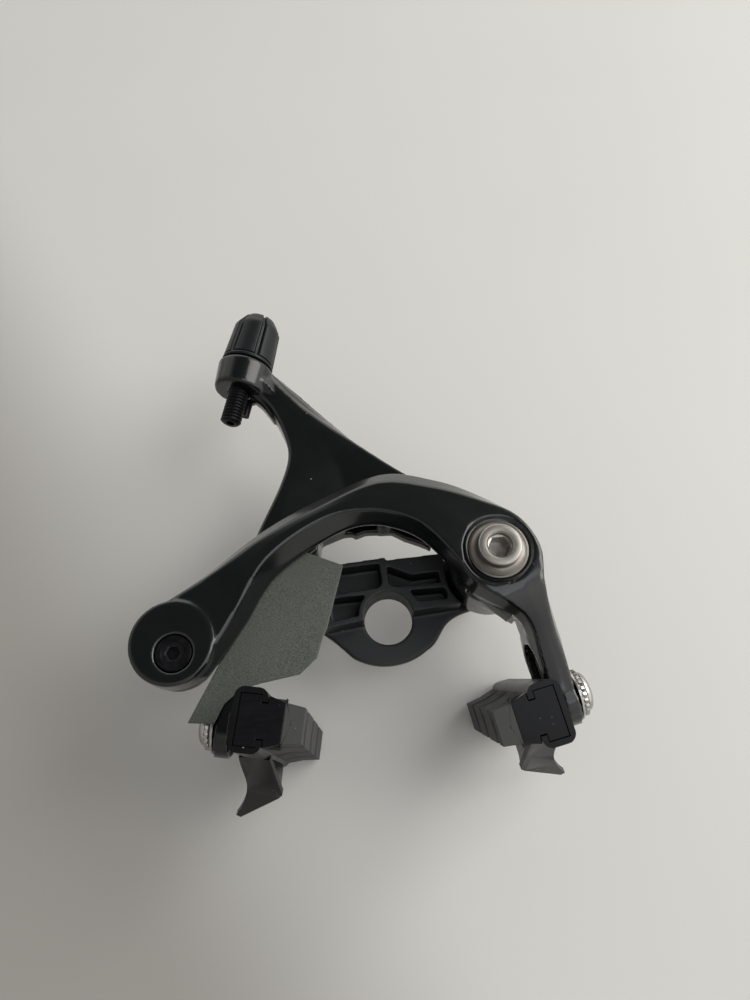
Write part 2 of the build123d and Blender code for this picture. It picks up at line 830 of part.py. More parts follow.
with BuildPart() as adjuster_detent:
    with BuildSketch(adjuster_plane(adjuster_boss_low)):
        with Locations((-detent_depth, detent_offset)):
            Circle(detent_d / 2)
    extrude(amount=-detent_length)
save(adjuster_detent, "adjuster_detent")

# Foam sheet that lies on the rear arm, under the bow
with BuildPart() as foam_sheet:
    with BuildSketch(Plane.XY.offset(sheet_back)):
        with BuildLine():
            Polyline(
                (-44.4, -23.6),
                (-38.6, -13.0),
                (-29.0, 2.4),
                (-21.2, 6.6),
                (-10.9, 1.8),
                (-15.9, -14.0),
                (-17.4, -17.0),
                (-18.9, -21.3),
                (-23.3, -24.9),
                (-32.6, -26.2),
                (-37.6, -27.2),
                (-41.7, -30.3),
                (-44.1, -34.7),
                (-50.3, -34.0),
                close=True,
            )
        make_face()
    extrude(amount=sheet_t)
save(foam_sheet, "foam_sheet")


def holder_profile():
    """C section of the shoe holder with its two lips, mouth towards the rim."""
    with BuildSketch(shoe_plane(-holder_length / 2 + holder_end_t)) as profile:
        with Locations((holder_depth / 2, 0)):
            RectangleRounded(holder_depth, holder_h, holder_radius)
            Rectangle(holder_depth - 2 * holder_wall, holder_h - 2 * holder_wall, mode=Mode.SUBTRACT)
        with Locations((holder_depth, 0)):
            Rectangle(holder_depth, holder_h - 2 * (holder_wall + lip_h), mode=Mode.SUBTRACT)
    return profile.sketch


def shoe_point(to_rim, up, along):
    """A point of the left shoe, in its own three directions."""
    plane = shoe_plane()
    return plane.origin + plane.x_dir * to_rim + plane.y_dir * up + plane.z_dir * along


def fin_plane():
    """Face of the wheel guide fin: local x to the rim, y down the slope of the blade."""
    plane = shoe_plane()
    normal = plane.y_dir * cos(radians(fin_slope)) - plane.z_dir * sin(radians(fin_slope))
    return Plane(origin=shoe_point(0, -holder_h / 2, fin_root), x_dir=plane.x_dir, z_dir=normal)


def fin_web_plane():
    """Outer face of the web behind the fin: local x along the shoe, y down and out."""
    plane = shoe_plane()
    lean = radians(18.0)
    normal = plane.x_dir * cos(lean) + plane.y_dir * sin(lean)
    return Plane(origin=shoe_point(7.0, -holder_h / 2, 0), x_dir=plane.z_dir, z_dir=normal)


# Left shoe holder with its wheel guide fin, open at its front end
with BuildPart() as left_shoe_holder:
    add(extrude(holder_profile(), amount=holder_length - holder_end_t, mode=Mode.PRIVATE))
    with BuildSketch(shoe_plane(-holder_length / 2)):
        with Locations((holder_depth / 2, 0)):
            RectangleRounded(holder_depth, holder_h, holder_radius)
    extrude(amount=holder_end_t)
    with BuildSketch(across(-1, -holder_boss_t)):
        with Locations((shoe_z, 0)):
            Circle(holder_boss_d / 2)
    extrude(amount=holder_boss_t)
    with BuildSketch(across(-1, -holder_boss_t)):
        with Locations((shoe_z, 0)):
            Circle(shoe_bolt_d / 2 + shoe_fit)
    extrude(amount=holder_boss_t + holder_wall, mode=Mode.SUBTRACT)
    with BuildSketch(across(-1, 0)):
        with Locations((shoe_z + pad_screw_w, 0)):
            Circle(pad_screw_d / 2)
    extrude(amount=holder_wall, mode=Mode.SUBTRACT)
    with BuildSketch(fin_plane()):
        with BuildLine():
            Polyline((7.2, 0), (9.5, fin_corner - 1.2), (8.6, fin_corner + 0.8), (-1.8, fin_length - 0.8))
            Line((-1.8, fin_length - 0.8), (-2.9, fin_length - 1.6))
            Spline((-2.9, fin_length - 1.6), (0.2, 19.0), (1.0, 11.6), (0.2, 4.0), (0, 0))
            Line((0, 0), (7.2, 0))
        make_face()
    extrude(amount=fin_t)
    with BuildSketch(fin_web_plane()):
        with BuildLine():
            Polyline(
                (fin_root - 1.0, -0.6),
                (fin_root - 1.0, 0),
                (-5.2, 7.6),
                (-8.6, 4.4),
                (fin_web_end, 0.3),
                (fin_web_end, -0.6),
                close=True,
            )
        make_face()
    extrude(amount=-fin_t * 0.9)
save(left_shoe_holder, "left_shoe_holder")

# Left pad insert: black plastic that slides in the holder and caps the pad's open end
insert_depth = holder_depth - 2 * holder_wall - 2 * insert_gap
insert_low = -holder_length / 2 + holder_end_t + 0.3
insert_high = holder_length / 2 - 0.2
cap_low = insert_high - insert_cap_t
with BuildPart() as left_pad_insert:
    with BuildSketch(shoe_plane(insert_low)):
        with Locations((holder_depth / 2, 0)):
            Rectangle(insert_depth, holder_h - 2 * holder_wall - 2 * insert_gap)
        with Locations((holder_depth + insert_gap - holder_wall, 0)):
            Rectangle(holder_wall * 2, pad_neck_h)
    extrude(amount=insert_high - insert_low)
    with BuildSketch(shoe_plane(cap_low)):
        with BuildLine():
            Polyline(
                (holder_depth + insert_gap, pad_h / 2),
                (insert_cap_depth, pad_face_h / 2 + 0.6),
                (insert_cap_depth, -pad_face_h / 2 - 0.6),
                (holder_depth + insert_gap, -pad_h / 2),
                close=True,
            )
        make_face()
    extrude(amount=insert_cap_t)
    with BuildSketch(across(-1, holder_wall)):
        with Locations((shoe_z + (insert_low + pad_screw_w) / 2, 0)):
            Rectangle(pad_screw_w - insert_low + pad_screw_d + 0.6, pad_screw_d + 0.6)
    extrude(amount=insert_gap + 1.2, mode=Mode.SUBTRACT)
save(left_pad_insert, "left_pad_insert")

# Left rubber pad, bonded to the insert, with grooves across its face
pad_low = -holder_length / 2 + 0.4
with BuildPart() as left_rubber_pad:
    with BuildSketch(shoe_plane(pad_low)):
        with BuildLine():
            Polyline(
                (holder_depth + insert_gap, pad_h / 2),
                (insert_cap_depth, pad_face_h / 2 + 0.6),
                (pad_depth, pad_face_h / 2),
                (pad_depth, -pad_face_h / 2),
                (insert_cap_depth, -pad_face_h / 2 - 0.6),
                (holder_depth + insert_gap, -pad_h / 2),
                close=True,
            )
        make_face()
    extrude(amount=insert_high - pad_low)
    with BuildSketch(shoe_plane(cap_low)):
        with Locations((insert_cap_depth / 2, 0)):
            Rectangle(insert_cap_depth, pad_h)
    extrude(amount=insert_cap_t, mode=Mode.SUBTRACT)
    for number in range(3):
        with BuildSketch(shoe_plane(cap_low - groove_cap_gap - groove_w / 2 - number * groove_pitch)):
            with Locations((pad_depth - groove_depth / 2, 0)):
                Rectangle(groove_depth, pad_h)
        extrude(amount=groove_w, mode=Mode.SUBTRACT)
save(left_rubber_pad, "left_rubber_pad")

with BuildPart() as left_pad_screw:
    with BuildSketch(across(-1, 0)):
        with Locations((shoe_z + pad_screw_w, 0)):
            Circle(pad_screw_d / 2)
    extrude(amount=holder_wall + 0.9)
save(left_pad_screw, "left_pad_screw")

# Shoe bolt and its washers: from the head outside the leg to the holder's back
washer_outside = leg_outer + face_gap
lock_outside = washer_outside + outer_washer_t
head_outside = lock_outside + toe_gap + lock_washer_t
with BuildPart() as left_shoe_bolt:
    with BuildSketch(across(-1, -head_outside - shoe_head_h)):
        with Locations((shoe_z, 0)):
            Circle(shoe_head_d / 2)
    extrude(amount=shoe_head_h)
    with BuildSketch(across(-1, -head_outside)):
        with Locations((shoe_z, 0)):
            Circle(shoe_bolt_d / 2)
    extrude(amount=head_outside + holder_wall - face_gap)
    with BuildSketch(across(-1, -head_outside - shoe_head_h)):
        with Locations((shoe_z, 0)):
            RegularPolygon(shoe_hex / 2, 6, major_radius=False)
    extrude(amount=shoe_head_h * 1.3, mode=Mode.SUBTRACT)
save(left_shoe_bolt, "left_shoe_bolt")


def shoe_washer(outer_d, room, thickness, depth):
    """Flat washer on the left shoe bolt, its outer face at a depth outside the holder's back."""
    plane = across(-1, -depth)
    return tube(
        outer_d / 2,
        shoe_bolt_d / 2 + room,
        thickness,
        Plane(plane.origin + Vector(0, 0, shoe_z), x_dir=plane.x_dir, z_dir=plane.z_dir),
    )


left_outer_washer = shoe_washer(outer_washer_d, toe_room, outer_washer_t, lock_outside)
save(left_outer_washer, "left_outer_washer")
left_lock_washer = shoe_washer(lock_washer_d, shoe_fit, lock_washer_t, head_outside)
save(left_lock_washer, "left_lock_washer")

left_washer_seat = shoe_washer(dome_d, toe_room, seat_thickness, tab_inner - face_gap)
save(left_washer_seat, "left_washer_seat")

with BuildPart() as left_domed_washer:
    add(shoe_washer(dome_d, shoe_fit, seat_thickness, holder_boss_t + face_gap + seat_thickness))
    fillet(left_domed_washer.edges().filter_by(GeomType.CIRCLE).sort_by(SortBy.LENGTH)[-1], 0.5)
save(left_domed_washer, "left_domed_washer")

# Right shoe: mirrored from the left one and tipped about its bolt. The two washers that stay square
# to the leg keep the toe of 0
left_pieces = {
    "shoe_holder": (left_shoe_holder, right_shoe_toe),
    "pad_insert": (left_pad_insert, right_shoe_toe),
    "rubber_pad": (left_rubber_pad, right_shoe_toe),
    "pad_screw": (left_pad_screw, right_shoe_toe),
    "shoe_bolt": (left_shoe_bolt, right_shoe_toe),
    "lock_washer": (left_lock_washer, right_shoe_toe),
    "domed_washer": (left_domed_washer, right_shoe_toe),
    "outer_washer": (left_outer_washer, 0.0),
    "washer_seat": (left_washer_seat, 0.0),
}
for piece_name, (left_piece, toe) in left_pieces.items():
    with BuildPart() as right_piece:
        add(right_of(left_piece.part, toe))
    save(right_piece, f"right_{piece_name}")
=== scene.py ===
"""Looks of a direct mount rim brake caliper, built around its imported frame.

Lengths in this file are millimetres unless a property says otherwise. The frame's origin lies on the
mount plane, midway between the two mount bolts: +Z runs out of the frame, +Y away from the wheel.
"""

import bmesh
import bpy
import numpy as np
from mathutils import Matrix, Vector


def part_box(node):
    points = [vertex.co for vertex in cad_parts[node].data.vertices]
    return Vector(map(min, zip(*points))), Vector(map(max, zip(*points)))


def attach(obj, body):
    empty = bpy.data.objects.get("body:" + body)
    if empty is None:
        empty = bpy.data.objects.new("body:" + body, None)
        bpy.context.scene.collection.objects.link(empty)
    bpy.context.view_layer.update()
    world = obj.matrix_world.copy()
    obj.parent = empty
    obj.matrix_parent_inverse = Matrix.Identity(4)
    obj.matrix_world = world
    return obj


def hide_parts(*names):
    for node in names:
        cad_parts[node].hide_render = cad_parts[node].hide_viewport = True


bl_info = {
    "name": "Rim brake caliper",
    "version": (1, 0, 0),
    "blender": (4, 5, 0),
    "location": "3D View > Sidebar > Caliper",
    "description": "Skins, hardware and finishes of a direct mount rim brake caliper",
    "category": "Mesh",
}

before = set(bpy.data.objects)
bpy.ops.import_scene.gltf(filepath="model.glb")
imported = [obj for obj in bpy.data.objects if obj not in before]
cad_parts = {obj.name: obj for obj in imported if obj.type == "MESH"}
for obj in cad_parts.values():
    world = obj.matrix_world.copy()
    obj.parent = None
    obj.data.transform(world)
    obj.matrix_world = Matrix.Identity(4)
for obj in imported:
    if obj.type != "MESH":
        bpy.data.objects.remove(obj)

MM = 0.001
TAU = 2 * np.pi
# Radius at which a turned profile ends beside its axis, where a pole closes the skin
TIP = 0.01
# Points of a CAD mesh or a new shell nearer than this are one, in metres
SAME_POINT = 1e-6

# Places and turns of the caliper's parts, as the frame has them
PIVOT_X = 28.0
CANT = np.radians(11.0)
SHOE_X = {"left": -36.6, "right": 35.8}
SHOE_Y, SHOE_Z = -36.1, 11.0
SLOT_LOW, SLOT_HIGH = -1.0, 9.8
RIGHT_TIP, RIGHT_TOE = 8.5, 3.5
TOE_PIVOT = 2.25
ANCHOR = (-51.9, -18.9)
DISC = (-52.5, -16.3)
ADJUSTER = (-37.0, 58.5, 15.0)
ADJUSTER_LEAN = np.radians(15.5)
BOW_BACK, DISC_FRONT, HUB_TOP = 19.4, 27.0, 26.2
# Height that neither arm reaches, where the prisms that cut them down end
CLEAR_Z = 40
FLOOR_Z = -17.5

# Camera at the photo's angle: its place, its lens and the directions of its right side and its back
EYE = (-7.364, -56.324, 198.619)
EYE_LENS, EYE_SENSOR = 26.35, 36.0
EYE_RIGHT, EYE_BACK = (0.9962, -0.0874, -0.0018), (-0.0322, -0.3864, 0.9218)

# Square lamps: name, place, width, power in watts and colour
LAMPS = (
    ("window_light", (700, 230, 650), 700, 6.3, "#fffefb"),
    ("ceiling_light", (150, -60, 560), 240, 0.3, "#f4fbff"),
)

# Brightness of the room: a direction, two cosines of the angle to it, and the factor at each of them.
# It hardly changes with height and is brightest to the upper right. The third row darkens the part of
# the ceiling that a flat top mirrors to the camera
ROOM = (
    ((0, 0, 1), 0.02, 0.8, 1.7, 1.6),
    ((0.8, 0.6, 0), -0.8, 0.6, 0.3, 1.0),
    ((0.03, 0.33, 0.94), 0.68, 0.92, 1.0, 0.08),
)


def linear(code):
    """An sRGB hex colour as linear RGBA."""
    value = np.array([int(code[at : at + 2], 16) for at in (1, 3, 5)]) / 255
    value = np.where(value <= 0.04045, value / 12.92, ((value + 0.055) / 1.055) ** 2.4)
    return (*(float(channel) for channel in value), 1.0)


def colour(name, description, code):
    """A colour property whose default is an sRGB hex colour."""
    return bpy.props.FloatVectorProperty(
        name=name, description=description, subtype="COLOR", size=4, min=0, max=1, default=linear(code)
    )


def length(name, description, millimetres):
    """A length property, kept in metres."""
    return bpy.props.FloatProperty(
        name=name, description=description, subtype="DISTANCE", unit="LENGTH", min=0,
        default=millimetres * MM,
    )


class CaliperSizes(bpy.types.PropertyGroup):
    """Sizes of the skins that a user may want to change."""

    arm_voxel: length("Arm rounding", "Voxel size that rounds the arms' edges and joins", 0.4)
    plate_voxel: length("Plate rounding", "Voxel size that softens the moulded plate's edges", 0.3)
    holder_edge: length("Holder edge", "Width of the rounded edges of the shoe holders", 0.22)
    pad_edge: length("Pad edge", "Width of the rounded edges of the pads and inserts", 0.16)
    hardware_edge: length("Hardware edge", "Width of the broken edges of bolts and washers", 0.1)
    thread_pitch: length("Thread pitch", "Pitch of the cable adjuster's thread", 1.0)
    thread_depth: length("Thread depth", "Depth of the cable adjuster's thread", 0.55)
    flute_depth: length("Flute depth", "Depth of the flutes in the adjuster knob", 1.0)
    sheet_thickness: length("Sheet thickness", "Thickness of the thin foam sheet", 0.5)
    knob_flutes: bpy.props.IntProperty(
        name="Knob flutes", description="Number of flutes round the adjuster knob", min=3, default=6
    )
    washer_teeth: bpy.props.IntProperty(
        name="Washer teeth", description="Number of slanting teeth on a lock washer", min=6, default=24
    )


class CaliperColours(bpy.types.PropertyGroup):
    """Colours of the finishes and of the stage."""

    arm_paint: colour("Arm paint", "Gloss black paint of the two arms", "#07090a")
    holder_paint: colour("Holder paint", "Satin black paint of the shoe holders", "#0b0b0d")
    plate_plastic: colour("Plate plastic", "Filled nylon of the mount plate", "#0d0f12")
    insert_plastic: colour("Insert plastic", "Dark plastic of the pad inserts", "#09090b")
    knob_plastic: colour("Knob plastic", "Moulded plastic of the adjuster knob", "#0d0f11")
    pad_rubber: colour("Pad rubber", "Brake rubber", "#2d2d2c")
    foam: colour("Foam", "Grey green skin of the foam sheet", "#3e413b")
    foam_speck: colour("Foam speck", "Pale specks in the foam sheet", "#6e726a")
    black_steel: colour("Black steel", "Blacked steel of the small screws", "#1f1f21")
    plain_steel: colour("Plain steel", "Zinc plated steel", "#a9a59f")
    bright_steel: colour("Bright steel", "Polished plating of the shoe bolts", "#bdbbb7")
    ferrule: colour("Ferrule", "Drawn aluminium of the housing ferrule", "#b8b7b4")
    floor: colour("Floor", "Pale table", "#cac9c6")


def add(tree, kind, inputs=None, **settings):
    """Add a node. Settings are its properties; inputs give a socket a value or another node's output."""
    node = tree.nodes.new(kind)
    for name, value in settings.items():
        setattr(node, name, value)
    for socket, value in (inputs or {}).items():
        if isinstance(value, bpy.types.NodeSocket):
            tree.links.new(value, node.inputs[socket])
        else:
            node.inputs[socket].default_value = value
    return node


def new_material(name):
    """An empty node material and its tree."""
    material = bpy.data.materials.new(name)
    material.use_nodes = True
    material.node_tree.nodes.clear()
    return material, material.node_tree


def finish(
    name, colours, base, other, patch, grain, depth, rough, metallic=0.0, coat=0.0, coat_rough=0.1,
    specular=0.5, specks=0.0, speck_size=2.2, speck_colour="#8f8f8c", stretch=(1.0, 1.0, 1.0),
):
    """A surface whose colour drifts from base to other over patches, with a fine grain.

    base is the name of a colour of the panel, or a hex colour. patch, grain and depth are
    millimetres: the size of the drift, the size of the grain and how deep it is. rough is the lowest
    and highest roughness. specks is the share of cells, speck_size wide, that hold one small speck of
    dust. stretch squeezes the pattern along each axis.
    """
    _, tree = new_material(name)
    base = linear(base) if base.startswith("#") else getattr(colours, base)
    place = add(tree, "ShaderNodeTexCoord").outputs["Object"]
    place = add(tree, "ShaderNodeMapping", {"Vector": place, "Scale": stretch}).outputs["Vector"]
    noise = {"Vector": place, "Scale": 1 / (patch * MM), "Detail": 4.0, "Roughness": 0.6}
    drift = add(tree, "ShaderNodeTexNoise", noise).outputs["Fac"]
    noise = {"Vector": place, "Scale": 1 / (grain * MM), "Detail": 3.0}
    fine = add(tree, "ShaderNodeTexNoise", noise).outputs["Fac"]
    tint = add(tree, "ShaderNodeMix", {"Factor": drift, "A": base, "B": linear(other)}, data_type="RGBA")
    shade = tint.outputs["Result"]
    if specks:
        # A speck fills the middle of its cell, out to 0.07 of the cell's size
        cells = add(tree, "ShaderNodeTexVoronoi", {"Vector": place, "Scale": 1 / (speck_size * MM)})
        near = add(tree, "ShaderNodeMath", {0: cells.outputs["Distance"], 1: 0.07}, operation="LESS_THAN")
        pick = add(tree, "ShaderNodeSeparateColor", {"Color": cells.outputs["Color"]}).outputs["Red"]
        pick = add(tree, "ShaderNodeMath", {0: pick, 1: specks}, operation="LESS_THAN")
        both = add(tree, "ShaderNodeMath", {0: near.outputs[0], 1: pick.outputs[0]}, operation="MULTIPLY")
        mix = {"Factor": both.outputs[0], "A": shade, "B": linear(speck_colour)}
        shade = add(tree, "ShaderNodeMix", mix, data_type="RGBA").outputs["Result"]
    mixed = add(tree, "ShaderNodeMath", {0: drift, 1: fine}, operation="ADD").outputs[0]
    span = {"Value": mixed, "From Min": 0.7, "From Max": 1.3, "To Min": rough[0], "To Max": rough[1]}
    roughness = add(tree, "ShaderNodeMapRange", span)
    bump = add(tree, "ShaderNodeBump", {"Height": fine, "Strength": 1.0, "Distance": depth * MM})
    shader = add(
        tree,
        "ShaderNodeBsdfPrincipled",
        {
            "Base Color": shade,
            "Roughness": roughness.outputs["Result"],
            "Normal": bump.outputs["Normal"],
            "Metallic": metallic,
            "Coat Weight": coat,
            "Coat Roughness": coat_rough,
            "Coat IOR": 1.5,
            "Specular IOR Level": specular,
        },
    )
    add(tree, "ShaderNodeOutputMaterial", {"Surface": shader.outputs["BSDF"]})


# Each finish is named for the real material and how its surface was made. A grain finer than about
# 0.15 mm wouldn't show, so metal, rubber and moulding grain are drawn at 0.15 to 0.5 mm, as coarse as
# they need to be
FINISHES = {
    # Forged aluminium under gloss black paint: a faint orange peel bends the reflections
    "gloss_painted_forging": dict(
        base="arm_paint", other="#0c0f10", patch=9.0, grain=3.0, depth=0.002, rough=(0.3, 0.38),
        coat=1.0, coat_rough=0.12, specular=0.1, specks=0.05, speck_size=3.0,
    ),
    # The rear arm has the same paint, a little duller from handling
    "satin_painted_forging": dict(
        base="arm_paint", other="#0b0d0e", patch=7.0, grain=3.0, depth=0.002, rough=(0.3, 0.4),
        coat=0.8, coat_rough=0.14, specular=0.1, specks=0.06, speck_size=3.0,
    ),
    # Die cast aluminium under thin satin paint: fine sand grain shows through
    "satin_painted_die_casting": dict(
        base="holder_paint", other="#131315", patch=5.0, grain=0.35, depth=0.006, rough=(0.3, 0.42),
        coat=0.12, coat_rough=0.2, specular=0.12, specks=0.08, speck_size=2.0,
    ),
    # Injection moulded nylon with glass fill: cloudy patches and a dull skin
    "moulded_filled_nylon": dict(
        base="plate_plastic", other="#16181b", patch=4.0, grain=0.3, depth=0.01, rough=(0.42, 0.6),
        specks=0.06, speck_size=1.8,
    ),
    # Smooth moulded plastic, scuffed along its length by the pad sliding in
    "scuffed_moulded_plastic": dict(
        base="insert_plastic", other="#151417", patch=2.5, grain=0.5, depth=0.005, rough=(0.25, 0.4),
        coat=0.1, coat_rough=0.15, specular=0.12, specks=0.12, speck_size=1.2, stretch=(0.5, 3.0, 1.0),
    ),
    # Moulded brake rubber with a dusty, slightly torn skin
    "moulded_brake_rubber": dict(
        base="pad_rubber", other="#40403f", patch=2.0, grain=0.25, depth=0.03, rough=(0.7, 0.9),
        specks=0.2, speck_size=1.0, speck_colour="#9a9a97",
    ),
    # Moulded knob plastic, smooth and slightly glossy
    "moulded_knob_plastic": dict(
        base="knob_plastic", other="#121517", patch=4.0, grain=0.8, depth=0.004, rough=(0.3, 0.4),
        specular=0.25, specks=0.08, speck_size=1.5,
    ),
    # Blacked steel: dark metal with oily patches
    "blacked_steel": dict(
        base="black_steel", other="#303033", patch=1.5, grain=0.2, depth=0.004, rough=(0.3, 0.5),
        metallic=1.0,
    ),
    # Zinc plated steel, turned: grey with a soft sheen
    "zinc_plated_steel": dict(
        base="plain_steel", other="#8d8984", patch=2.0, grain=0.3, depth=0.004, rough=(0.28, 0.42),
        metallic=1.0,
    ),
    # Turned steel of the mount washers, painted darker for the dark surroundings that their cones
    # reflect, with a broad sheen
    "shade_darkened_steel": dict(
        base="#77726c", other="#5f5b56", patch=2.5, grain=0.3, depth=0.003, rough=(0.25, 0.36),
        metallic=1.0,
    ),
    # Grey moulded nylon of the small wear strip: plain and slightly dull
    "grey_moulded_nylon": dict(
        base="#4b4b49", other="#565654", patch=3.0, grain=0.3, depth=0.006, rough=(0.4, 0.5)
    ),
    # Polished and plated steel with few marks: bright, sharp reflections
    "polished_plated_steel": dict(
        base="bright_steel", other="#a19f9b", patch=2.0, grain=0.4, depth=0.002, rough=(0.16, 0.26),
        metallic=1.0,
    ),
    # Drawn aluminium: pale metal with lengthwise grain
    "drawn_aluminium": dict(
        base="ferrule", other="#9c9b98", patch=1.5, grain=0.15, depth=0.004, rough=(0.3, 0.45),
        metallic=1.0, stretch=(1.0, 0.15, 1.0),
    ),
}


def foam_skin(name, colours):
    """Closed cell foam: pale grains of 0.28 mm over a drift in colour 12 mm wide, without gloss."""
    _, tree = new_material(name)
    place = add(tree, "ShaderNodeTexCoord").outputs["Object"]
    grains = add(tree, "ShaderNodeTexNoise", {"Vector": place, "Scale": 1 / (0.28 * MM), "Detail": 3.0})
    grains = grains.outputs["Fac"]
    drift = add(tree, "ShaderNodeTexNoise", {"Vector": place, "Scale": 1 / (12.0 * MM), "Detail": 2.0})
    span = {"Value": grains, "From Min": 0.35, "From Max": 0.72, "To Min": 0.0, "To Max": 0.55}
    spots = add(tree, "ShaderNodeMapRange", span)
    mix = {"Factor": drift.outputs["Fac"], "A": colours.foam, "B": linear("#2b2e28")}
    shade = add(tree, "ShaderNodeMix", mix, data_type="RGBA").outputs["Result"]
    mix = {"Factor": spots.outputs["Result"], "A": shade, "B": colours.foam_speck}
    speckled = add(tree, "ShaderNodeMix", mix, data_type="RGBA").outputs["Result"]
    bump = add(tree, "ShaderNodeBump", {"Height": grains, "Strength": 1.0, "Distance": 0.03 * MM})
    skin_look = {
        "Base Color": speckled, "Roughness": 0.75, "Normal": bump.outputs["Normal"], "Sheen Weight": 0.15
    }
    shader = add(tree, "ShaderNodeBsdfPrincipled", skin_look)
    add(tree, "ShaderNodeOutputMaterial", {"Surface": shader.outputs["BSDF"]})


def material(name):
    """A finish of this caliper, made the first time that it is asked for."""
    if name not in bpy.data.materials:
        colours = bpy.context.scene.caliper_colours
        if name in FINISHES:
            finish(name, colours, **FINISHES[name])
        else:
            foam_skin(name, colours)
    return bpy.data.materials[name]


def axes(origin, z_dir, x_dir):
    """A 4 x 4 placement from its origin, its z direction and its x direction."""
    z_dir, x_dir = (np.array(v, float) / np.linalg.norm(v) for v in (z_dir, x_dir))
    placement = np.eye(4)
    placement[:3, 0], placement[:3, 1], placement[:3, 2] = x_dir, np.cross(z_dir, x_dir), z_dir
    placement[:3, 3] = origin
    return placement


def placed(points, placement):
    """Points of a local grid, carried by a placement."""
    return points @ placement[:3, :3].T + placement[:3, 3]


def turn(degrees, axis, origin):
    """A turn about an axis through a point, as a 4 x 4 array."""
    spin = np.array(Matrix.Rotation(np.radians(degrees), 4, axis))
    spin[:3, 3] = np.array(origin) - spin[:3, :3] @ np.array(origin)
    return spin


def leg_placement(side):
    """Placement of a leg where its shoe bolt crosses it: local x to the rim, y up the leg."""
    sign = -1 if side == "left" else 1
    placement = np.eye(4)
    placement[:3, 0] = (-sign * np.cos(CANT), -np.sin(CANT), 0)
    placement[:3, 1] = (-sign * np.sin(CANT), np.cos(CANT), 0)
    placement[:3, 3] = (SHOE_X[side], SHOE_Y, SHOE_Z)
    return placement


def shoe_placement(side, toe=True):
    """Placement of a shoe: local x to the rim, y up the leg, z along the shoe.

    The right one is the left one mirrored, tipped about its bolt and then toed in, which the two
    washers that stay square to the leg don't follow.
    """
    placement = leg_placement("left")
    if side == "left":
        return placement
    mirror = np.diag([-1.0, 1.0, 1.0, 1.0])
    mirror[0, 3] = SHOE_X["right"] + SHOE_X["left"]
    towards, up, _, hub = leg_placement("right")[:3].T
    placement = turn(-RIGHT_TIP, towards, hub) @ mirror @ placement
    if toe:
        placement = turn(-RIGHT_TOE, up, hub - towards * TOE_PIVOT) @ placement
    return placement


def along_shoe(side, toe=True):
    """Placement whose z is a shoe's bolt axis, towards the rim."""
    return shoe_placement(side, toe) @ axes((0, 0, 0), (1, 0, 0), (0, 0, 1))


def adjuster_placement():
    """Placement whose z is the cable adjuster's axis, towards the knob."""
    return axes(ADJUSTER, (np.sin(ADJUSTER_LEAN), np.cos(ADJUSTER_LEAN), 0), (0, 0, 1))


def smooth_line(points, count):
    """Smooth curve through points: on each span a cubic whose end slopes follow the neighbours."""
    p = np.asarray(points, float)
    p = np.vstack([2 * p[0] - p[1], p, 2 * p[-1] - p[-2]])
    t = np.linspace(0, len(p) - 3, count)
    at = np.minimum(t.astype(int), len(p) - 4)
    f = (t - at)[:, None]
    a, b, c, d = p[at], p[at + 1], p[at + 2], p[at + 3]
    square, cube = 2 * a - 5 * b + 4 * c - d, 3 * b - a - 3 * c + d
    return 0.5 * (2 * b + (c - a) * f + square * f**2 + cube * f**3)


def skin(rows, closed=False):
    """Closed skin over a grid (rows, columns, 3).

    Columns close on themselves. Rows close on themselves too, or end in a pole at their middle.
    """
    if closed:
        rows = np.concatenate([rows, rows[:1]])
    else:
        poles = [np.repeat(row.mean(0, keepdims=True), len(row), 0)[None] for row in (rows[0], rows[-1])]
        rows = np.concatenate([poles[0], rows, poles[1]])
    count, wide = rows.shape[:2]
    row, column = np.arange(count - 1)[:, None] * wide, np.arange(wide)
    after = (column + 1) % wide
    faces = np.stack([row + column, row + after, row + wide + after, row + wide + column], -1)
    return rows.reshape(-1, 3), faces.reshape(-1, 4)


def line(plan, height):
    """Control points in plan, each raised to its height or all to one."""
    return np.column_stack([plan, np.broadcast_to(height, len(plan))])


def loft(*lines, count=140):
    """Bar over lines of matched control points: row t holds point t of every line, in order."""
    return skin(np.stack([smooth_line(line, count) for line in lines], 1))


def turned(profile, placement, steps=96, shape=None, closed=False):
    """Surface of revolution: point(s, angle) = (r(s) cos, r(s) sin, z(s)) carried by a placement.

    Profile rows are (r, z) or (r, z, sides). With sides, r is a polygon's half width across its
    flats: r(angle) = r / cos(angle mod 2 pi/sides - pi/sides). shape may bend the grids of r and z.
    """
    rows = np.array([(*row, 0)[:3] for row in profile], float)
    angle = np.arange(steps) * TAU / steps
    wedge = TAU / np.maximum(rows[:, 2:], 1)
    r = np.where(rows[:, 2:] > 0, rows[:, :1] / np.cos(angle % wedge - wedge / 2), rows[:, :1])
    z = np.repeat(rows[:, 1:2], steps, 1)
    if shape:
        r, z = shape(r, z, angle)
    return skin(placed(np.stack([r * np.cos(angle), r * np.sin(angle), z], -1), placement), closed)


def mesh_from(name, shell):
    """Mesh of a shell in millimetres, with its doubles merged and its faces outward."""
    points, faces = shell
    mesh = bpy.data.meshes.new(name)
    mesh.from_pydata((points * MM).tolist(), [], [list(face) for face in faces])
    edit = bmesh.new()
    edit.from_mesh(mesh)
    bmesh.ops.remove_doubles(edit, verts=edit.verts, dist=SAME_POINT)
    bmesh.ops.recalc_face_normals(edit, faces=edit.faces)
    edit.to_mesh(mesh)
    edit.free()
    return mesh


def merged_copy(node, flat=False):
    """Copy of a CAD node's mesh with its loose triangles joined, and flat areas made one face."""
    edit = bmesh.new()
    edit.from_mesh(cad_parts[node].data)
    bmesh.ops.remove_doubles(edit, verts=edit.verts, dist=SAME_POINT)
    if flat:
        bmesh.ops.dissolve_limit(edit, angle_limit=np.radians(1.0), verts=edit.verts, edges=edit.edges)
    mesh = bpy.data.meshes.new(node)
    edit.to_mesh(mesh)
    edit.free()
    return mesh


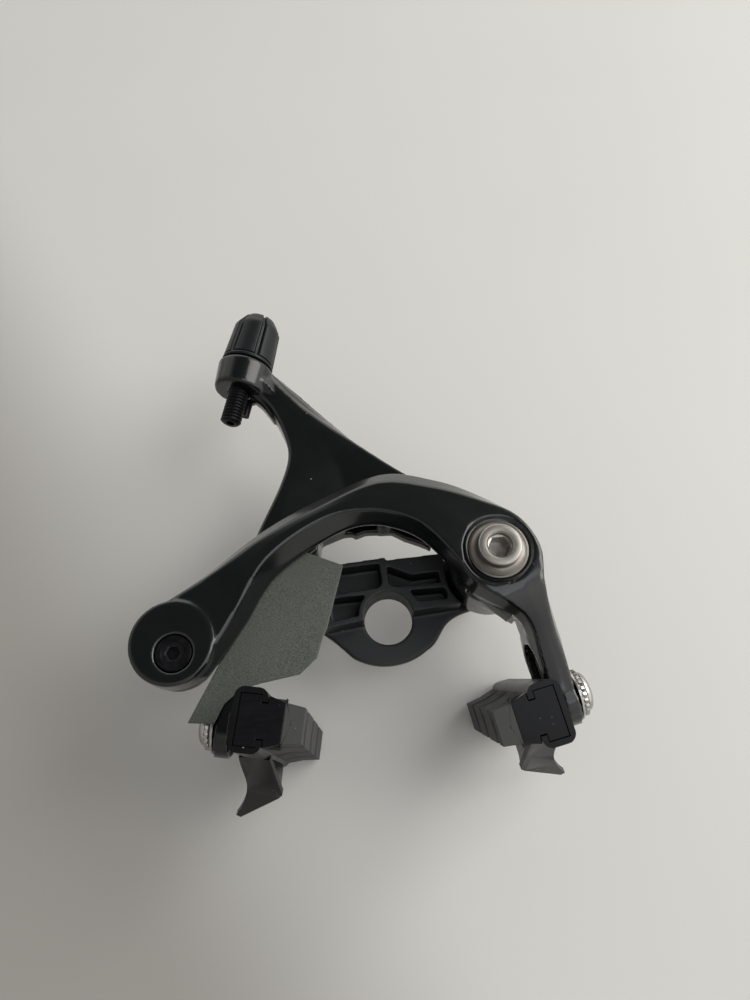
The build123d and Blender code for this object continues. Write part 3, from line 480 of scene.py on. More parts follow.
def new_object(name, mesh):
    """Object of a mesh, at the origin."""
    made = bpy.data.objects.new(name, mesh)
    bpy.context.scene.collection.objects.link(made)
    return made


def bake(made):
    """Apply an object's modifiers to its mesh."""
    graph = bpy.context.evaluated_depsgraph_get()
    mesh = bpy.data.meshes.new_from_object(made.evaluated_get(graph))
    made.modifiers.clear()
    made.data = mesh


def drop_specks(made, least=100):
    """Take out loose islands of fewer corners, which a remesh can leave behind."""
    edit = bmesh.new()
    edit.from_mesh(made.data)
    unseen = set(edit.verts)
    while unseen:
        start = unseen.pop()
        island, front = {start}, {start}
        while front:
            front = {edge.other_vert(corner) for corner in front for edge in corner.link_edges} - island
            island |= front
        unseen -= island
        if len(island) < least:
            bmesh.ops.delete(edit, geom=list(island), context="VERTS")
    edit.to_mesh(made.data)
    edit.free()


def cut(made, *shells):
    """Take closed shells out of an object."""
    for shell in shells:
        cutter = new_object("cutter", mesh_from("cutter", shell))
        step = made.modifiers.new("cut", "BOOLEAN")
        step.object, step.operation, step.solver = cutter, "DIFFERENCE", "EXACT"
        bake(made)
        bpy.data.objects.remove(cutter)


def trimmed(shell, *cutters):
    """An object of one closed shell with others taken out of it."""
    made = new_object("shell", mesh_from("shell", shell))
    cut(made, *cutters)
    return made


def casting(name, cores, voxel, rounds):
    """One closed, rounded skin over several solids: voxel remesh, then rounds of smoothing."""
    edit = bmesh.new()
    for core in cores:
        edit.from_mesh(core.data)
        bpy.data.objects.remove(core)
    mesh = bpy.data.meshes.new(name)
    edit.to_mesh(mesh)
    edit.free()
    made = new_object(name, mesh)
    remesh = made.modifiers.new("remesh", "REMESH")
    remesh.mode, remesh.voxel_size, remesh.adaptivity = "VOXEL", voxel, 0.0
    smooth = made.modifiers.new("smooth", "SMOOTH")
    smooth.factor, smooth.iterations = 0.5, rounds
    bake(made)
    drop_specks(made)
    return made


def dress(made, body, slot, finish_name, *nodes, sharp=180.0, edge=0.0):
    """Give a piece its finish, shading and rounded edges, and let it ride on its body.

    sharp is the angle in degrees past which an edge shades as a corner. edge is the rounding's width.
    """
    made.data.materials.clear()
    made.data.materials.append(material(finish_name))
    made.data.polygons.foreach_set("use_smooth", np.ones(len(made.data.polygons), bool))
    if sharp < 180:
        made.data.set_sharp_from_angle(angle=np.radians(sharp))
    if edge:
        bevel = made.modifiers.new("edge", "BEVEL")
        bevel.width, bevel.segments, bevel.limit_method = edge, 2, "ANGLE"
        bevel.angle_limit = np.radians(35)
        bevel.harden_normals = bevel.use_clamp_overlap = True
    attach(made, body)
    if nodes:
        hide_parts(*nodes)
    return made


def piece(node, word, shell, body, slot, finish_name, sharp=35.0, edge=0.0):
    """A new piece from a shell, in place of a CAD node. The word in its name tells its make."""
    name = f"{node}_{word}"
    made = new_object(name, mesh_from(name, shell))
    return dress(made, body, slot, finish_name, node, sharp=sharp, edge=edge)


def softened(node, word, body, slot, finish_name, edge):
    """A CAD node's copy with rounded edges, in place of the node."""
    made = new_object(f"{node}_{word}", merged_copy(node, flat=True))
    return dress(made, body, slot, finish_name, node, sharp=35.0, edge=edge)


def paint_node(finish_name, *nodes):
    """Give CAD nodes whose shape is right their finish."""
    for node in nodes:
        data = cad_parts[node].data
        data.materials.clear()
        data.materials.append(material(finish_name))


def prism(outline, low, high):
    """Closed prism over an outline in plan: a wall between two rings, and one face on each."""
    ring = np.array(outline, float)
    count = len(ring)
    at = np.arange(count)
    after = (at + 1) % count
    walls = np.stack([at, after, after + count, at + count], 1)
    points = np.concatenate([np.column_stack([ring, np.full(count, z)]) for z in (low, high)])
    return points, [*walls, at, at + count]


def leg_groove(side, radius=4.9, depths=(-4.05, 3.0)):
    """Stadium into a leg between two depths: half circles round both ends of the shoe's travel.

    v(angle) = end of travel + radius sin(angle), z(angle) = radius cos(angle).
    """
    steps = 64
    angle = np.arange(steps) * TAU / steps
    v = np.where(angle < np.pi, SLOT_HIGH, SLOT_LOW) + radius * np.sin(angle)
    rows = [np.column_stack([np.full(steps, depth), v, radius * np.cos(angle)]) for depth in depths]
    return skin(placed(np.stack(rows), leg_placement(side)))


def upright(x, y):
    """Placement of a part that stands along Z."""
    return axes((x, y, 0), (0, 0, 1), (1, 0, 0))


class CALIPER_OT_stage(bpy.types.Operator):
    """Pale table, soft light from the upper right and the camera above the caliper."""

    bl_idname = "caliper.stage"
    bl_label = "Stage"

    def execute(self, context):
        """Light falls off from the upper right to the lower left of the view, and the table's colour
        carries painted shade towards the lower left.
        """
        scene = context.scene
        scene.view_settings.view_transform = "Standard"
        colours = scene.caliper_colours

        # Smooth painted table: soft clouds 70 mm wide, 14 to the metre, hardly darker than the paint
        table, tree = new_material("painted_table")
        place = add(tree, "ShaderNodeTexCoord").outputs["Object"]
        cloud = add(tree, "ShaderNodeTexNoise", {"Vector": place, "Scale": 14.0, "Detail": 2.0})
        mix = {"Factor": cloud.outputs["Fac"], "A": colours.floor, "B": linear("#c6c5c1")}
        shade = add(tree, "ShaderNodeMix", mix, data_type="RGBA").outputs["Result"]
        # Painted shade: the table's colour darkens from the middle to the lower left, where the light
        # falls off
        lower_left = (-0.85, -0.45, 0)
        side = add(tree, "ShaderNodeVectorMath", {0: place, 1: lower_left}, operation="DOT_PRODUCT")
        span = {"Value": side.outputs["Value"], "From Min": 0.02, "From Max": 0.1}
        painted_falloff = add(tree, "ShaderNodeMapRange", span, interpolation_type="SMOOTHSTEP")
        mix = {"Factor": painted_falloff.outputs["Result"], "A": shade, "B": linear("#979490")}
        shade = add(tree, "ShaderNodeMix", mix, data_type="RGBA").outputs["Result"]
        look = {"Base Color": shade, "Roughness": 0.5, "Specular IOR Level": 0.2}
        shader = add(tree, "ShaderNodeBsdfPrincipled", look)
        add(tree, "ShaderNodeOutputMaterial", {"Surface": shader.outputs["BSDF"]})
        corners = 1500.0 * np.array([(-1, -1), (1, -1), (1, 1), (-1, 1)])
        top = line(corners, FLOOR_Z), np.array([(0, 1, 2, 3)])
        floor = new_object("table_top", mesh_from("table_top", top))
        floor.data.materials.append(table)

        world = bpy.data.worlds.new("room")
        scene.world = world
        world.use_nodes = True
        tree = world.node_tree
        tree.nodes.clear()
        way = add(tree, "ShaderNodeTexCoord").outputs["Generated"]
        glow = 1.0
        for towards, low, high, at_low, at_high in ROOM:
            share = add(tree, "ShaderNodeVectorMath", {0: way, 1: towards}, operation="DOT_PRODUCT")
            span = {"Value": share.outputs["Value"], "From Min": low, "From Max": high}
            span.update({"To Min": at_low, "To Max": at_high})
            level = add(tree, "ShaderNodeMapRange", span, interpolation_type="SMOOTHSTEP")
            both = {0: glow, 1: level.outputs["Result"]}
            glow = add(tree, "ShaderNodeMath", both, operation="MULTIPLY").outputs[0]
        sky = add(tree, "ShaderNodeBackground", {"Color": linear("#f4f3f0"), "Strength": glow})
        add(tree, "ShaderNodeOutputWorld", {"Surface": sky.outputs["Background"]})

        for name, at, size, power, tint in LAMPS:
            data = bpy.data.lights.new(name, "AREA")
            data.shape, data.size, data.energy = "SQUARE", size * MM, power
            data.color = linear(tint)[:3]
            lamp = new_object(name, data)
            # A lamp shines down its own -Z, towards a point 10 mm above the origin
            back = np.array(at, float) - (0, 0, 10)
            across = np.cross((0, 0, 1.0), back)
            lamp.matrix_world = Matrix(axes(np.array(at) * MM, back, across).tolist())

        eye = bpy.data.cameras.new("eye")
        eye.sensor_width, eye.lens = EYE_SENSOR, EYE_LENS
        eye.clip_start, eye.clip_end = 0.01, 10.0
        camera = new_object("eye", eye)
        camera.matrix_world = Matrix(axes(np.array(EYE) * MM, EYE_BACK, EYE_RIGHT).tolist())
        scene.camera = camera
        return {"FINISHED"}


class CALIPER_OT_front_arm(bpy.types.Operator):
    """Gloss black front arm: a bow with a flat sloping outer wall, a round disc, hub and leg."""

    bl_idname = "caliper.front_arm"
    bl_label = "Front arm"

    def execute(self, context):
        """The frame's arm is cut down to its lower half, then the bow's bar is lofted over it."""
        sizes = context.scene.caliper_sizes
        # Fifteen stations from the disc over the hub to the leg's end: both edges in plan, then for the
        # feet, the crest and the ridge how far each lies inside an edge, and how high
        outer = np.array([
            (-57.6, -7.2), (-44.8, 0.6), (-31.9, 9.6), (-17.8, 17.2), (0.2, 23.7), (14.9, 20.8),
            (26.6, 15.2), (34.6, 9.2), (38.9, 0.5), (38.9, -8.0), (39.9, -14.6), (41.2, -20.5),
            (42.6, -26.5), (43.6, -32.0), (43.9, -35.2),
        ])
        inner = np.array([
            (-45.4, -24.2), (-36.2, -12.4), (-28.0, -0.4), (-13.4, 9.2), (-2.4, 11.6), (8.4, 7.6),
            (16.0, -0.8), (20.5, -8.3), (23.8, -10.9), (27.6, -13.4), (31.4, -16.0), (33.75, -20.0),
            (34.85, -25.6), (35.9, -31.0), (36.6, -34.6),
        ])
        inward = inner - outer
        inward /= np.linalg.norm(inward, axis=1)[:, None]
        low_z = np.array([BOW_BACK] * 10 + [18.0, 15.2, 15.0, 15.0, 15.0])
        bulge = np.array([0.2] * 10 + [0.1, 0.0, 0.0, 0.0, 0.0])[:, None]
        out_foot = np.array([0.2, 0.5, 0.8, 0.9, 1.0, 1.0, 0.7, 0.3, 0.2, 0.2, 0.3, 0.3, 0.3, 0.2, 0.1])
        foot_z = np.array([22.6] * 8 + [22.6, 21.6, 19.8, 17.8, 16.8, 16.4, 16.2])
        crest_in = np.array([0.8, 1.5, 2.2, 2.8, 3.3, 3.1, 2.2, 0.9, 0.5, 0.7, 1.1, 1.4, 1.2, 0.9, 0.7])
        crest_z = np.array([
            26.1, 26.4, 26.8, 26.8, 26.8, 26.8, 26.8, 26.8, 26.9, 26.0, 23.6, 21.1, 19.1, 17.6, 16.9,
        ])
        ridge_in = np.array([1.0, 2.4, 3.2, 2.9, 1.4, 1.4, 1.0, 0.8, 0.7, 0.7, 0.7, 0.6, 0.6, 0.6, 0.5])
        ridge_z = np.array([
            26.3, 26.8, 27.4, 27.4, 27.4, 27.4, 27.3, 27.0, 26.9, 26.0, 23.6, 21.3, 19.3, 17.8, 17.0,
        ])
        wall_z = np.array([21.4] * 8 + [21.4, 21.0, 19.6, 16.6, 15.8, 15.6, 15.4])

        # Seven lines: both feet of the outer wall, its crest, the middle of the top, the ridge and both
        # feet of the inner wall. The two lowest stand up to 0.2 mm proud of the solid
        crest = outer + inward * crest_in[:, None]
        ridge = inner - inward * ridge_in[:, None]
        bow = loft(
            line(outer - inward * 0.15, low_z),
            line(outer - inward * out_foot[:, None], foot_z),
            line(crest, crest_z),
            line((crest + ridge) / 2, (crest_z + ridge_z) / 2 + 0.15),
            line(ridge, ridge_z),
            line(inner + inward * bulge, wall_z),
            line(inner + inward * bulge * 0.8, low_z),
            count=260,
        )
        disc = [(TIP, BOW_BACK), (10.25, BOW_BACK), (10.25, DISC_FRONT - 0.4), (9.85, DISC_FRONT)]
        disc = turned([*disc, (TIP, DISC_FRONT)], upright(*DISC))
        # Sill below the leg's slot: rings across the leg, from the inner to the outer face
        v = np.array([0.6, 6.0, 12.5, 17.5])
        under, over = np.array([-6.3, -6.8, -6.8, -3.8]), np.array([-3.05, -3.05, -3.05, -1.6])
        rings = [(-1.1, under + 0.4), (-1.1, over), (-7.4, over), (-7.4, under)]
        sill = np.stack([np.column_stack([np.full(4, depth), v, z]) for depth, z in rings], 1)
        sill = skin(placed(sill, leg_placement("right")))
        # Of the frame's arm, only what lies under the bow and under the leg's top stays
        core = new_object("core", merged_copy("front_arm"))
        bow_area = [(-70, -40), (-20, -40), (-20, -16.5), (50, -16.5), (50, 40), (-70, 40)]
        leg_area = [(28, -35.2), (50, -35.2), (50, -16.4), (28, -16.4)]
        cut(core, prism(bow_area, 19.7, CLEAR_Z), prism(leg_area, 15.9, CLEAR_Z), leg_groove("right"))
        # Cut out: the washer's well and the sleeve's bore in the hub, the anchor bolt's stepped hole, the
        # shoe's groove, and a flat face under its outer washer
        well = turned([(TIP, HUB_TOP), (8.7, HUB_TOP), (8.7, 34), (TIP, 34)], upright(PIVOT_X, 0))
        bore = turned([(TIP, 2), (5.05, 2), (5.05, 30), (TIP, 30)], upright(PIVOT_X, 0))
        groove, face = leg_groove("right"), leg_groove("right", 7.1, (-12.0, -7.7))
        screw = [(TIP, 10), (2.55, 10), (2.55, 24.4), (4.5, 24.4), (4.5, 34), (TIP, 34)]
        screw = turned(screw, upright(*ANCHOR))
        bow = trimmed(bow, well, bore, screw, groove, face)
        parts = [core, bow, trimmed(disc, screw), trimmed(sill, groove)]
        made = casting("front_arm_casting", parts, sizes.arm_voxel, rounds=8)
        dress(made, "front_arm", "gloss_black_arm", "gloss_painted_forging", "front_arm")
        return {"FINISHED"}


class CALIPER_OT_rear_arm(bpy.types.Operator):
    """Black rear arm: a Y shaped web with a sloping right wall, adjuster boss and leg."""

    bl_idname = "caliper.rear_arm"
    bl_label = "Rear arm"

    def execute(self, context):
        """The frame's arm is cut down above the web, then the web's bar is lofted over it."""
        sizes = context.scene.caliper_sizes
        # Seven stations from the adjuster down to the pivots: both edges in plan, then the heights of the
        # back and of the hollow in the middle, and how far foot and crest lie outside and inside an edge
        right = [(-27.4, 63.4), (-20.6, 55.2), (-13.2, 46.8), (-4.9, 38.6), (4.6, 30.2), (10.8, 25.6)]
        right = np.array([*right, (14.6, 23.4)])
        left = [(-34.4, 58.4), (-28.7, 51.4), (-25.0, 42.6), (-23.9, 35.2), (-26.6, 26.4), (-32.6, 14.0)]
        left = np.array([*left, (-37.2, 3.4)])
        inward = left - right
        inward /= np.linalg.norm(inward, axis=1)[:, None]
        back_z = np.array([11.6, 11.6, 10.8, 9.0, 7.2, 6.4, 6.4])
        out_foot = np.array([0.8, 1.4, 1.7, 1.9, 1.9, 1.3, 0.2])
        crest_in = np.array([2.0, 2.8, 1.9, 1.2, 0.9, 0.8, 0.4])
        valley_z = np.array([17.6, 17.5, 17.4, 17.0, 15.9, 15.2, 15.2])

        def across(share):
            """Points between the right edge, 0, and the left edge, 1."""
            return right * (1 - share) + left * share

        web = loft(
            line(right + inward * 0.5, back_z),
            line(right - inward * out_foot[:, None], back_z + 1.2),
            line(right + inward * crest_in[:, None], 17.1),
            line(across(0.22), (valley_z + 17.3) / 2),
            line(across(0.45), valley_z),
            line(across(0.7), valley_z * 0.4 + 17.2 * 0.6),
            line(across(0.88), 17.2),
            line(left - inward * 0.9, 17.3),
            line(left, 16.3),
            line(left - inward * 0.2, back_z),
        )
        # Leaf that runs down from the top of the adjuster boss into the neck
        leaf = np.array([(-42.0, 61.5), (-36.5, 57.6), (-31.5, 53.4), (-27.6, 47.5)])
        flank = np.array([(-31.0, 66.0), (-28.4, 62.9), (-24.4, 57.6), (-21.0, 51.8)])
        gusset = loft(
            line(leaf, 11.9),
            line(leaf, 15.4),
            [(-36.2, 64.2, 22.6), (-32.2, 61.1, 20.6), (-28.3, 57.0, 18.5), (-24.2, 51.0, 16.3)],
            line(flank, [16.6, 16.3, 15.8, 15.2]),
            line(flank, 12.4),
            count=60,
        )
        boss = [(TIP, -1.0), (6.9, -1.0), (7.4, -0.5), (8.1, 6.8), (7.5, 7.4), (TIP, 7.4)]
        boss = turned(boss, adjuster_placement())
        bore = turned([(TIP, -12), (3.0, -12), (3.0, 18), (TIP, 18)], adjuster_placement())
        # The web leaves the ribbed shelf free, and of the frame's arm the part under the web stays
        shelf = [(-9.8, -12), (15.8, -12), (15.8, 17.8), (13.4, 18.6), (6.0, 21.6), (3.0, 22.7)]
        shelf = prism([*shelf, (-9.8, 22.7)], 5, CLEAR_Z)
        core = new_object("core", merged_copy("rear_arm"))
        lid = [(-41, 5.5), (-9.7, 18.2), (-9.7, 23.2), (3, 23.2), (16, 20), (16, 70), (-50, 70)]
        cut(core, prism(lid, 14.9, CLEAR_Z), leg_groove("left"))
        parts = [core, trimmed(web, shelf, bore), trimmed(gusset, bore), trimmed(boss, bore)]
        made = casting("rear_arm_casting", parts, sizes.arm_voxel, rounds=8)
        dress(made, "rear_arm", "satin_black_arm", "satin_painted_forging", "rear_arm")
        return {"FINISHED"}


class CALIPER_OT_plate(bpy.types.Operator):
    """Ribbed plastic mount plate with softened edges."""

    bl_idname = "caliper.plate"
    bl_label = "Mount plate"

    def execute(self, context):
        """One rounded skin over the frame's plate."""
        sizes = context.scene.caliper_sizes
        core = new_object("core", merged_copy("mount_plate"))
        made = casting("mount_plate_moulding", [core], sizes.plate_voxel, rounds=4)
        dress(made, "mount", "black_plate", "moulded_filled_nylon", "mount_plate")
        return {"FINISHED"}


class CALIPER_OT_pivots(bpy.types.Operator):
    """Mount bolts with hex sockets, coned washers, sleeves and return springs."""

    bl_idname = "caliper.pivots"
    bl_label = "Pivots"

    def execute(self, context):
        """Bolts and washers are turned shapes, and the sockets six-sided."""
        edge = context.scene.caliper_sizes.hardware_edge
        # Ridges of the M6 thread, one in each millimetre below the plate
        ridges = []
        for z in np.arange(-13.4, -0.8, 1.0):
            ridges += [(2.45, z), (2.96, z + 0.35), (2.96, z + 0.6)]
        # seat is the height of the washer's foot, and head how high the bolt's head is
        for side, x, seat, head in (("left", -PIVOT_X, 13.7, 2.9), ("right", PIVOT_X, 26.5, 2.8)):
            top = seat + 1.0 + head
            bolt = [
                (TIP, -14.0), (2.4, -14.0), *ridges, (2.65, -0.3), (2.65, seat + 1.02),
                (5.2, seat + 1.02), (5.35, seat + 1.2), (5.35, top - 0.3), (5.1, top - 0.03),
                (5.0, top), (3.6, top), (3.5, top - 0.02), (3.1, top - 0.45), (3.1, top - head * 0.7),
                (2.5, top - head * 0.75, 6), (2.5, top - head * 2.1, 6), (TIP, top - head * 2.15),
            ]
            bolt = turned(bolt, upright(x, 0))
            piece(f"{side}_mount_bolt", "turned", bolt, "mount", "steel", "zinc_plated_steel")
            washer = [
                (3.15, seat), (7.5, seat), (7.5, seat + 0.2), (7.05, seat + 0.25), (6.95, seat + 0.4),
                (5.5, seat + 1.0), (3.3, seat + 1.0), (3.15, seat + 0.9),
            ]
            washer = turned(washer, upright(x, 0), closed=True)
            node = f"{side}_mount_washer"
            # The washers' steel is painted darker, standing in for the dark reflection in their cones
            piece(node, "coned", washer, "mount", "steel", "shade_darkened_steel", edge=edge * 0.5)
        for side in ("left", "right"):
            paint_node("zinc_plated_steel", f"{side}_pivot_sleeve", f"{side}_return_spring")
        return {"FINISHED"}


class CALIPER_OT_cable_anchor(bpy.types.Operator):
    """Cable anchor bolt with its hex socket, clamp plate, washer and nut."""

    bl_idname = "caliper.cable_anchor"
    bl_label = "Cable anchor"

    def execute(self, context):
        """The nut's corners are cut by a cone: r = min(hexagon, cone)."""
        edge = context.scene.caliper_sizes.hardware_edge
        top = DISC_FRONT - 0.1
        bolt = [
            (TIP, 9.4), (2.1, 9.4), (2.5, 9.8), (2.5, 24.4), (4.2, 24.4), (4.3, 24.6),
            (4.3, top - 0.25), (4.1, top), (2.9, top), (2.75, top - 0.2), (1.9, top - 0.2),
            (1.5, top - 0.35, 6), (1.5, top - 1.7, 6), (TIP, top - 1.8),
        ]
        bolt = turned(bolt, upright(*ANCHOR))
        piece("cable_anchor_bolt", "turned", bolt, "front_arm", "black_steel", "blacked_steel")

        low, high = (corner[2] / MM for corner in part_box("cable_anchor_nut"))

        def coned(r, z, angle):
            """Cut the hexagon's corners back by 30 degrees at both faces."""
            cone = 4.1 + 1.73 * np.minimum(z - low, high - z)
            return np.where(r > 3.6, np.minimum(r, cone), r), z

        rows = [(4.0, z, 6) for z in (low, low + 0.15, low + 0.3, high - 0.3, high - 0.15, high)]
        nut = [(2.55, high - 0.2), (2.55, low + 0.2), (2.8, low), *rows, (2.8, high)]
        nut = turned(nut, upright(*ANCHOR), shape=coned, closed=True)
        piece("cable_anchor_nut", "hex", nut, "front_arm", "steel", "zinc_plated_steel", edge=edge * 0.5)
        paint_node("zinc_plated_steel", "cable_clamp_plate", "cable_clamp_washer")
        return {"FINISHED"}


class CALIPER_OT_adjuster(bpy.types.Operator):
    """Cable adjuster: fluted knob, threaded barrel, ferrule and detent pin."""

    bl_idname = "caliper.adjuster"
    bl_label = "Cable adjuster"

    def execute(self, context):
        """Flutes lower the knob's radius; the barrel's is a helix, f(z / pitch - angle / 2 pi)."""
        sizes = context.scene.caliper_sizes
        flutes, depth = sizes.knob_flutes, sizes.flute_depth / MM

        def fluted(r, z, angle):
            """Cut flutes into the outside, faded out over the foot ring."""
            away = np.abs((angle * flutes / TAU) % 1 - 0.5) * 2
            groove = np.clip((0.24 - away) / 0.14, 0, 1)
            groove = groove * groove * (3 - 2 * groove)
            foot = np.clip((z - 9.0) / 0.5, 0, 1)
            return np.where(r > 4.3, r - depth * groove * foot, r), z

        # The sides taper by 0.055 mm in each millimetre
        sides = [(7.4 - 0.055 * (z - 9.4), z) for z in np.linspace(9.4, 20.4, 12)]
        knob = [
            (2.95, 8.0), (7.3, 8.0), (7.5, 8.2), (7.5, 8.8), (7.3, 9.0), (7.05, 9.1), (7.05, 9.2),
            *sides, (6.6, 20.8), (5.6, 22.6), (4.75, 23.9), (4.4, 24.2), (3.35, 24.2), (3.15, 24.0),
            (3.15, 15.6), (2.95, 15.6),
        ]
        knob = turned(knob, adjuster_placement(), steps=240, shape=fluted, closed=True)
        piece("adjuster_knob", "fluted", knob, "adjuster", "black_knob", "moulded_knob_plastic", sharp=50)

        pitch, cut_depth = sizes.thread_pitch / MM, sizes.thread_depth / MM

        def helix(r, z, angle):
            """Thread: a trapezoid wave of z / pitch - angle / 2 pi, faded out at both ends."""
            wave = np.abs((z / pitch - angle / TAU) % 1 - 0.5) * 2
            wave = np.clip(wave * 1.6 - 0.3, 0, 1)
            fade = np.clip((z + 11.0) / 0.8, 0, 1) * np.clip((7.6 - z) / 0.8, 0, 1)
            return np.where(r > 2.5, r - cut_depth * wave * fade, r), z

        rows = [(2.95, z) for z in np.arange(-10.6, 8.2, 0.125)]
        barrel = [
            (1.2, -11.0), (2.2, -11.0), (2.55, -10.8), *rows, (2.95, 15.4), (2.7, 15.6), (1.2, 15.6),
        ]
        barrel = turned(barrel, adjuster_placement(), steps=72, shape=helix, closed=True)
        piece("adjuster_barrel", "threaded", barrel, "adjuster", "black_steel", "blacked_steel", sharp=60)
        paint_node("drawn_aluminium", "adjuster_ferrule")
        paint_node("blacked_steel", "adjuster_detent")
        return {"FINISHED"}


class CALIPER_OT_small_parts(bpy.types.Operator):
    """Link roller and pin, centring screw and spring seat."""

    bl_idname = "caliper.small_parts"
    bl_label = "Small parts"

    def execute(self, context):
        """The centring screw's head has a straight knurl: r = r0 - depth * ridge(angle)."""
        sizes = context.scene.caliper_sizes
        # Middle of the head's foot, on the right leg's outer face
        leg = leg_placement("right")
        at = placed(np.array([-7.0, 24.5, 3.0]), leg)

        def knurled(r, z, angle):
            """Fine ridges round the outside of the head."""
            ridge = np.abs((angle * 20 / TAU) % 1 - 0.5) * 2
            return np.where((r > 2.3) & (z < 0), r - 0.18 * ridge, r), z

        screw = [
            (TIP, -1.2), (0.95, -1.2, 6), (0.95, -1.7, 6), (1.9, -1.7), (2.3, -1.65), (2.4, -1.45),
            (2.4, -0.25), (2.2, 0.0), (1.5, 0.0), (1.5, 4.3), (1.3, 4.6), (TIP, 4.6),
        ]
        screw = turned(screw, axes(at, leg[:3, 0], (0, 0, 1)), steps=120, shape=knurled)
        piece("centring_screw", "knurled", screw, "front_arm", "black_steel", "blacked_steel")
        edge = sizes.holder_edge
        softened("spring_seat", "strip", "front_arm", "black_plate", "grey_moulded_nylon", edge)
        paint_node("blacked_steel", "link_roller", "link_roller_pin")
        return {"FINISHED"}


class CALIPER_OT_shoes(bpy.types.Operator):
    """Both brake shoes: holders, inserts, rubber pads, bolts and washers."""

    bl_idname = "caliper.shoes"
    bl_label = "Brake shoes"

    def execute(self, context):
        """Holders and pads are rounded copies of the frame's; the washers are turned and toothed."""
        sizes = context.scene.caliper_sizes
        pad_edge, holder_edge, teeth = sizes.pad_edge, sizes.holder_edge, sizes.washer_teeth

        def toothed(r, z, angle):
            """Slanting teeth on the outer face: height is a saw wave of angle and radius."""
            saw = (angle * teeth / TAU + r * 0.22) % 1
            ring = np.clip((r - 3.9) / 0.3, 0, 1)
            rim = np.abs((angle * teeth / TAU + z * 0.5) % 1 - 0.5) * 2
            rim = np.where(r > 5.5, 0.3 * rim, 0)
            return r - rim, np.where(z < -10.05, z + 0.3 * np.abs(saw - 0.5) * 2 * ring, z)

        # Stations along the rubber: x, its depth to the rim, falls to the floor of three cross grooves
        # and rises beside the insert's cap. Away from the middle each groove bends towards the low end
        groove_floor = 8.8
        marks = [-26.85]
        for middle in (-11.6, 4.4, 20.4):
            marks += [middle - 1.9, middle - 1.6, middle + 1.6, middle + 1.9]
        marks = np.array([*marks, 23.5, 23.7, 27.05])[:, None]
        in_groove = np.array([0, *[0, 1, 1, 0] * 3, 0, 0, 0], float)[:, None]
        at_cap = np.array([0.0] * 14 + [1.0, 1.0])[:, None]
        at_edge = np.array([0] + [1] * 12 + [0] * 3)[:, None]
        x = np.array([7.5, 9.6, 11.3, 15.6, 15.6, 15.6, 15.6, 11.3, 9.6, 7.5])
        y = np.array([5.4, 4.8, 4.3, 3.7, 1.3, -1.3, -3.7, -4.3, -4.8, -5.4])
        x = x * (1 - in_groove) + np.minimum(x, groove_floor) * in_groove
        x = np.maximum(x, 7.5 + 3.8 * at_cap)
        along = marks + (1.1 - 2.2 * np.abs(y) / 5.4) * at_edge
        block = np.stack([x, np.broadcast_to(y, x.shape), along], -1)
        for side in ("left", "right"):
            rubber, pad, shoe = f"{side}_rubber_pad", f"{side}_pad", f"{side}_shoe"
            holder, insert = f"{side}_shoe_holder", f"{side}_pad_insert"
            shell = skin(placed(block, shoe_placement(side)))
            piece(rubber, "moulded", shell, pad, "pad_rubber", "moulded_brake_rubber", edge=pad_edge)
            softened(holder, "cast", shoe, "black_holder", "satin_painted_die_casting", holder_edge)
            softened(insert, "moulded", pad, "black_insert", "scuffed_moulded_plastic", pad_edge)

            bolt = [
                (TIP, -9.7), (2.0, -9.75, 6), (2.0, -11.9, 6), (2.35, -12.1), (3.3, -12.0),
                (4.2, -11.6), (4.7, -11.1), (4.85, -10.6), (4.7, -10.22), (2.5, -10.22), (2.5, 1.0),
                (2.3, 1.2), (TIP, 1.2),
            ]
            axis = along_shoe(side)
            bolt = turned(bolt, axis)
            flat_rows = [(r, -10.2) for r in np.linspace(5.75, 2.7, 16)]
            lock = [(2.55, -9.1), (5.6, -9.1), (5.8, -9.3), (5.8, -10.0), *flat_rows, (2.55, -10.1)]
            lock = turned(lock, axis, steps=288, shape=toothed, closed=True)
            outer = [(2.9, -7.9), (6.3, -7.9), (6.4, -8.0), (6.4, -8.35), (6.1, -8.7), (3.0, -8.7)]
            outer = turned([*outer, (2.9, -8.6)], along_shoe(side, toe=False), closed=True)
            arc = np.linspace(0, np.pi / 2, 8)
            crown = [(3.3 + 0.9 * np.cos(a), -1.6 - 0.75 * np.sin(a)) for a in arc]
            dome = [(2.55, -1.3), (4.1, -1.3), (4.2, -1.45), *crown, (2.65, -2.35), (2.55, -2.25)]
            dome = turned(dome, axis, closed=True)
            for node, word, shell, body, slot in (
                ("shoe_bolt", "turned", bolt, "shoe", "bright_steel"),
                ("lock_washer", "toothed", lock, "shoe", "bright_steel"),
                ("outer_washer", "turned", outer, "slider", "bright_steel"),
                ("domed_washer", "turned", dome, "ball", "steel"),
            ):
                body = f"{side}_{body}"
                piece(f"{side}_{node}", word, shell, body, slot, "polished_plated_steel")
            paint_node("zinc_plated_steel", f"{side}_washer_seat")
            paint_node("blacked_steel", f"{side}_pad_screw")
        return {"FINISHED"}


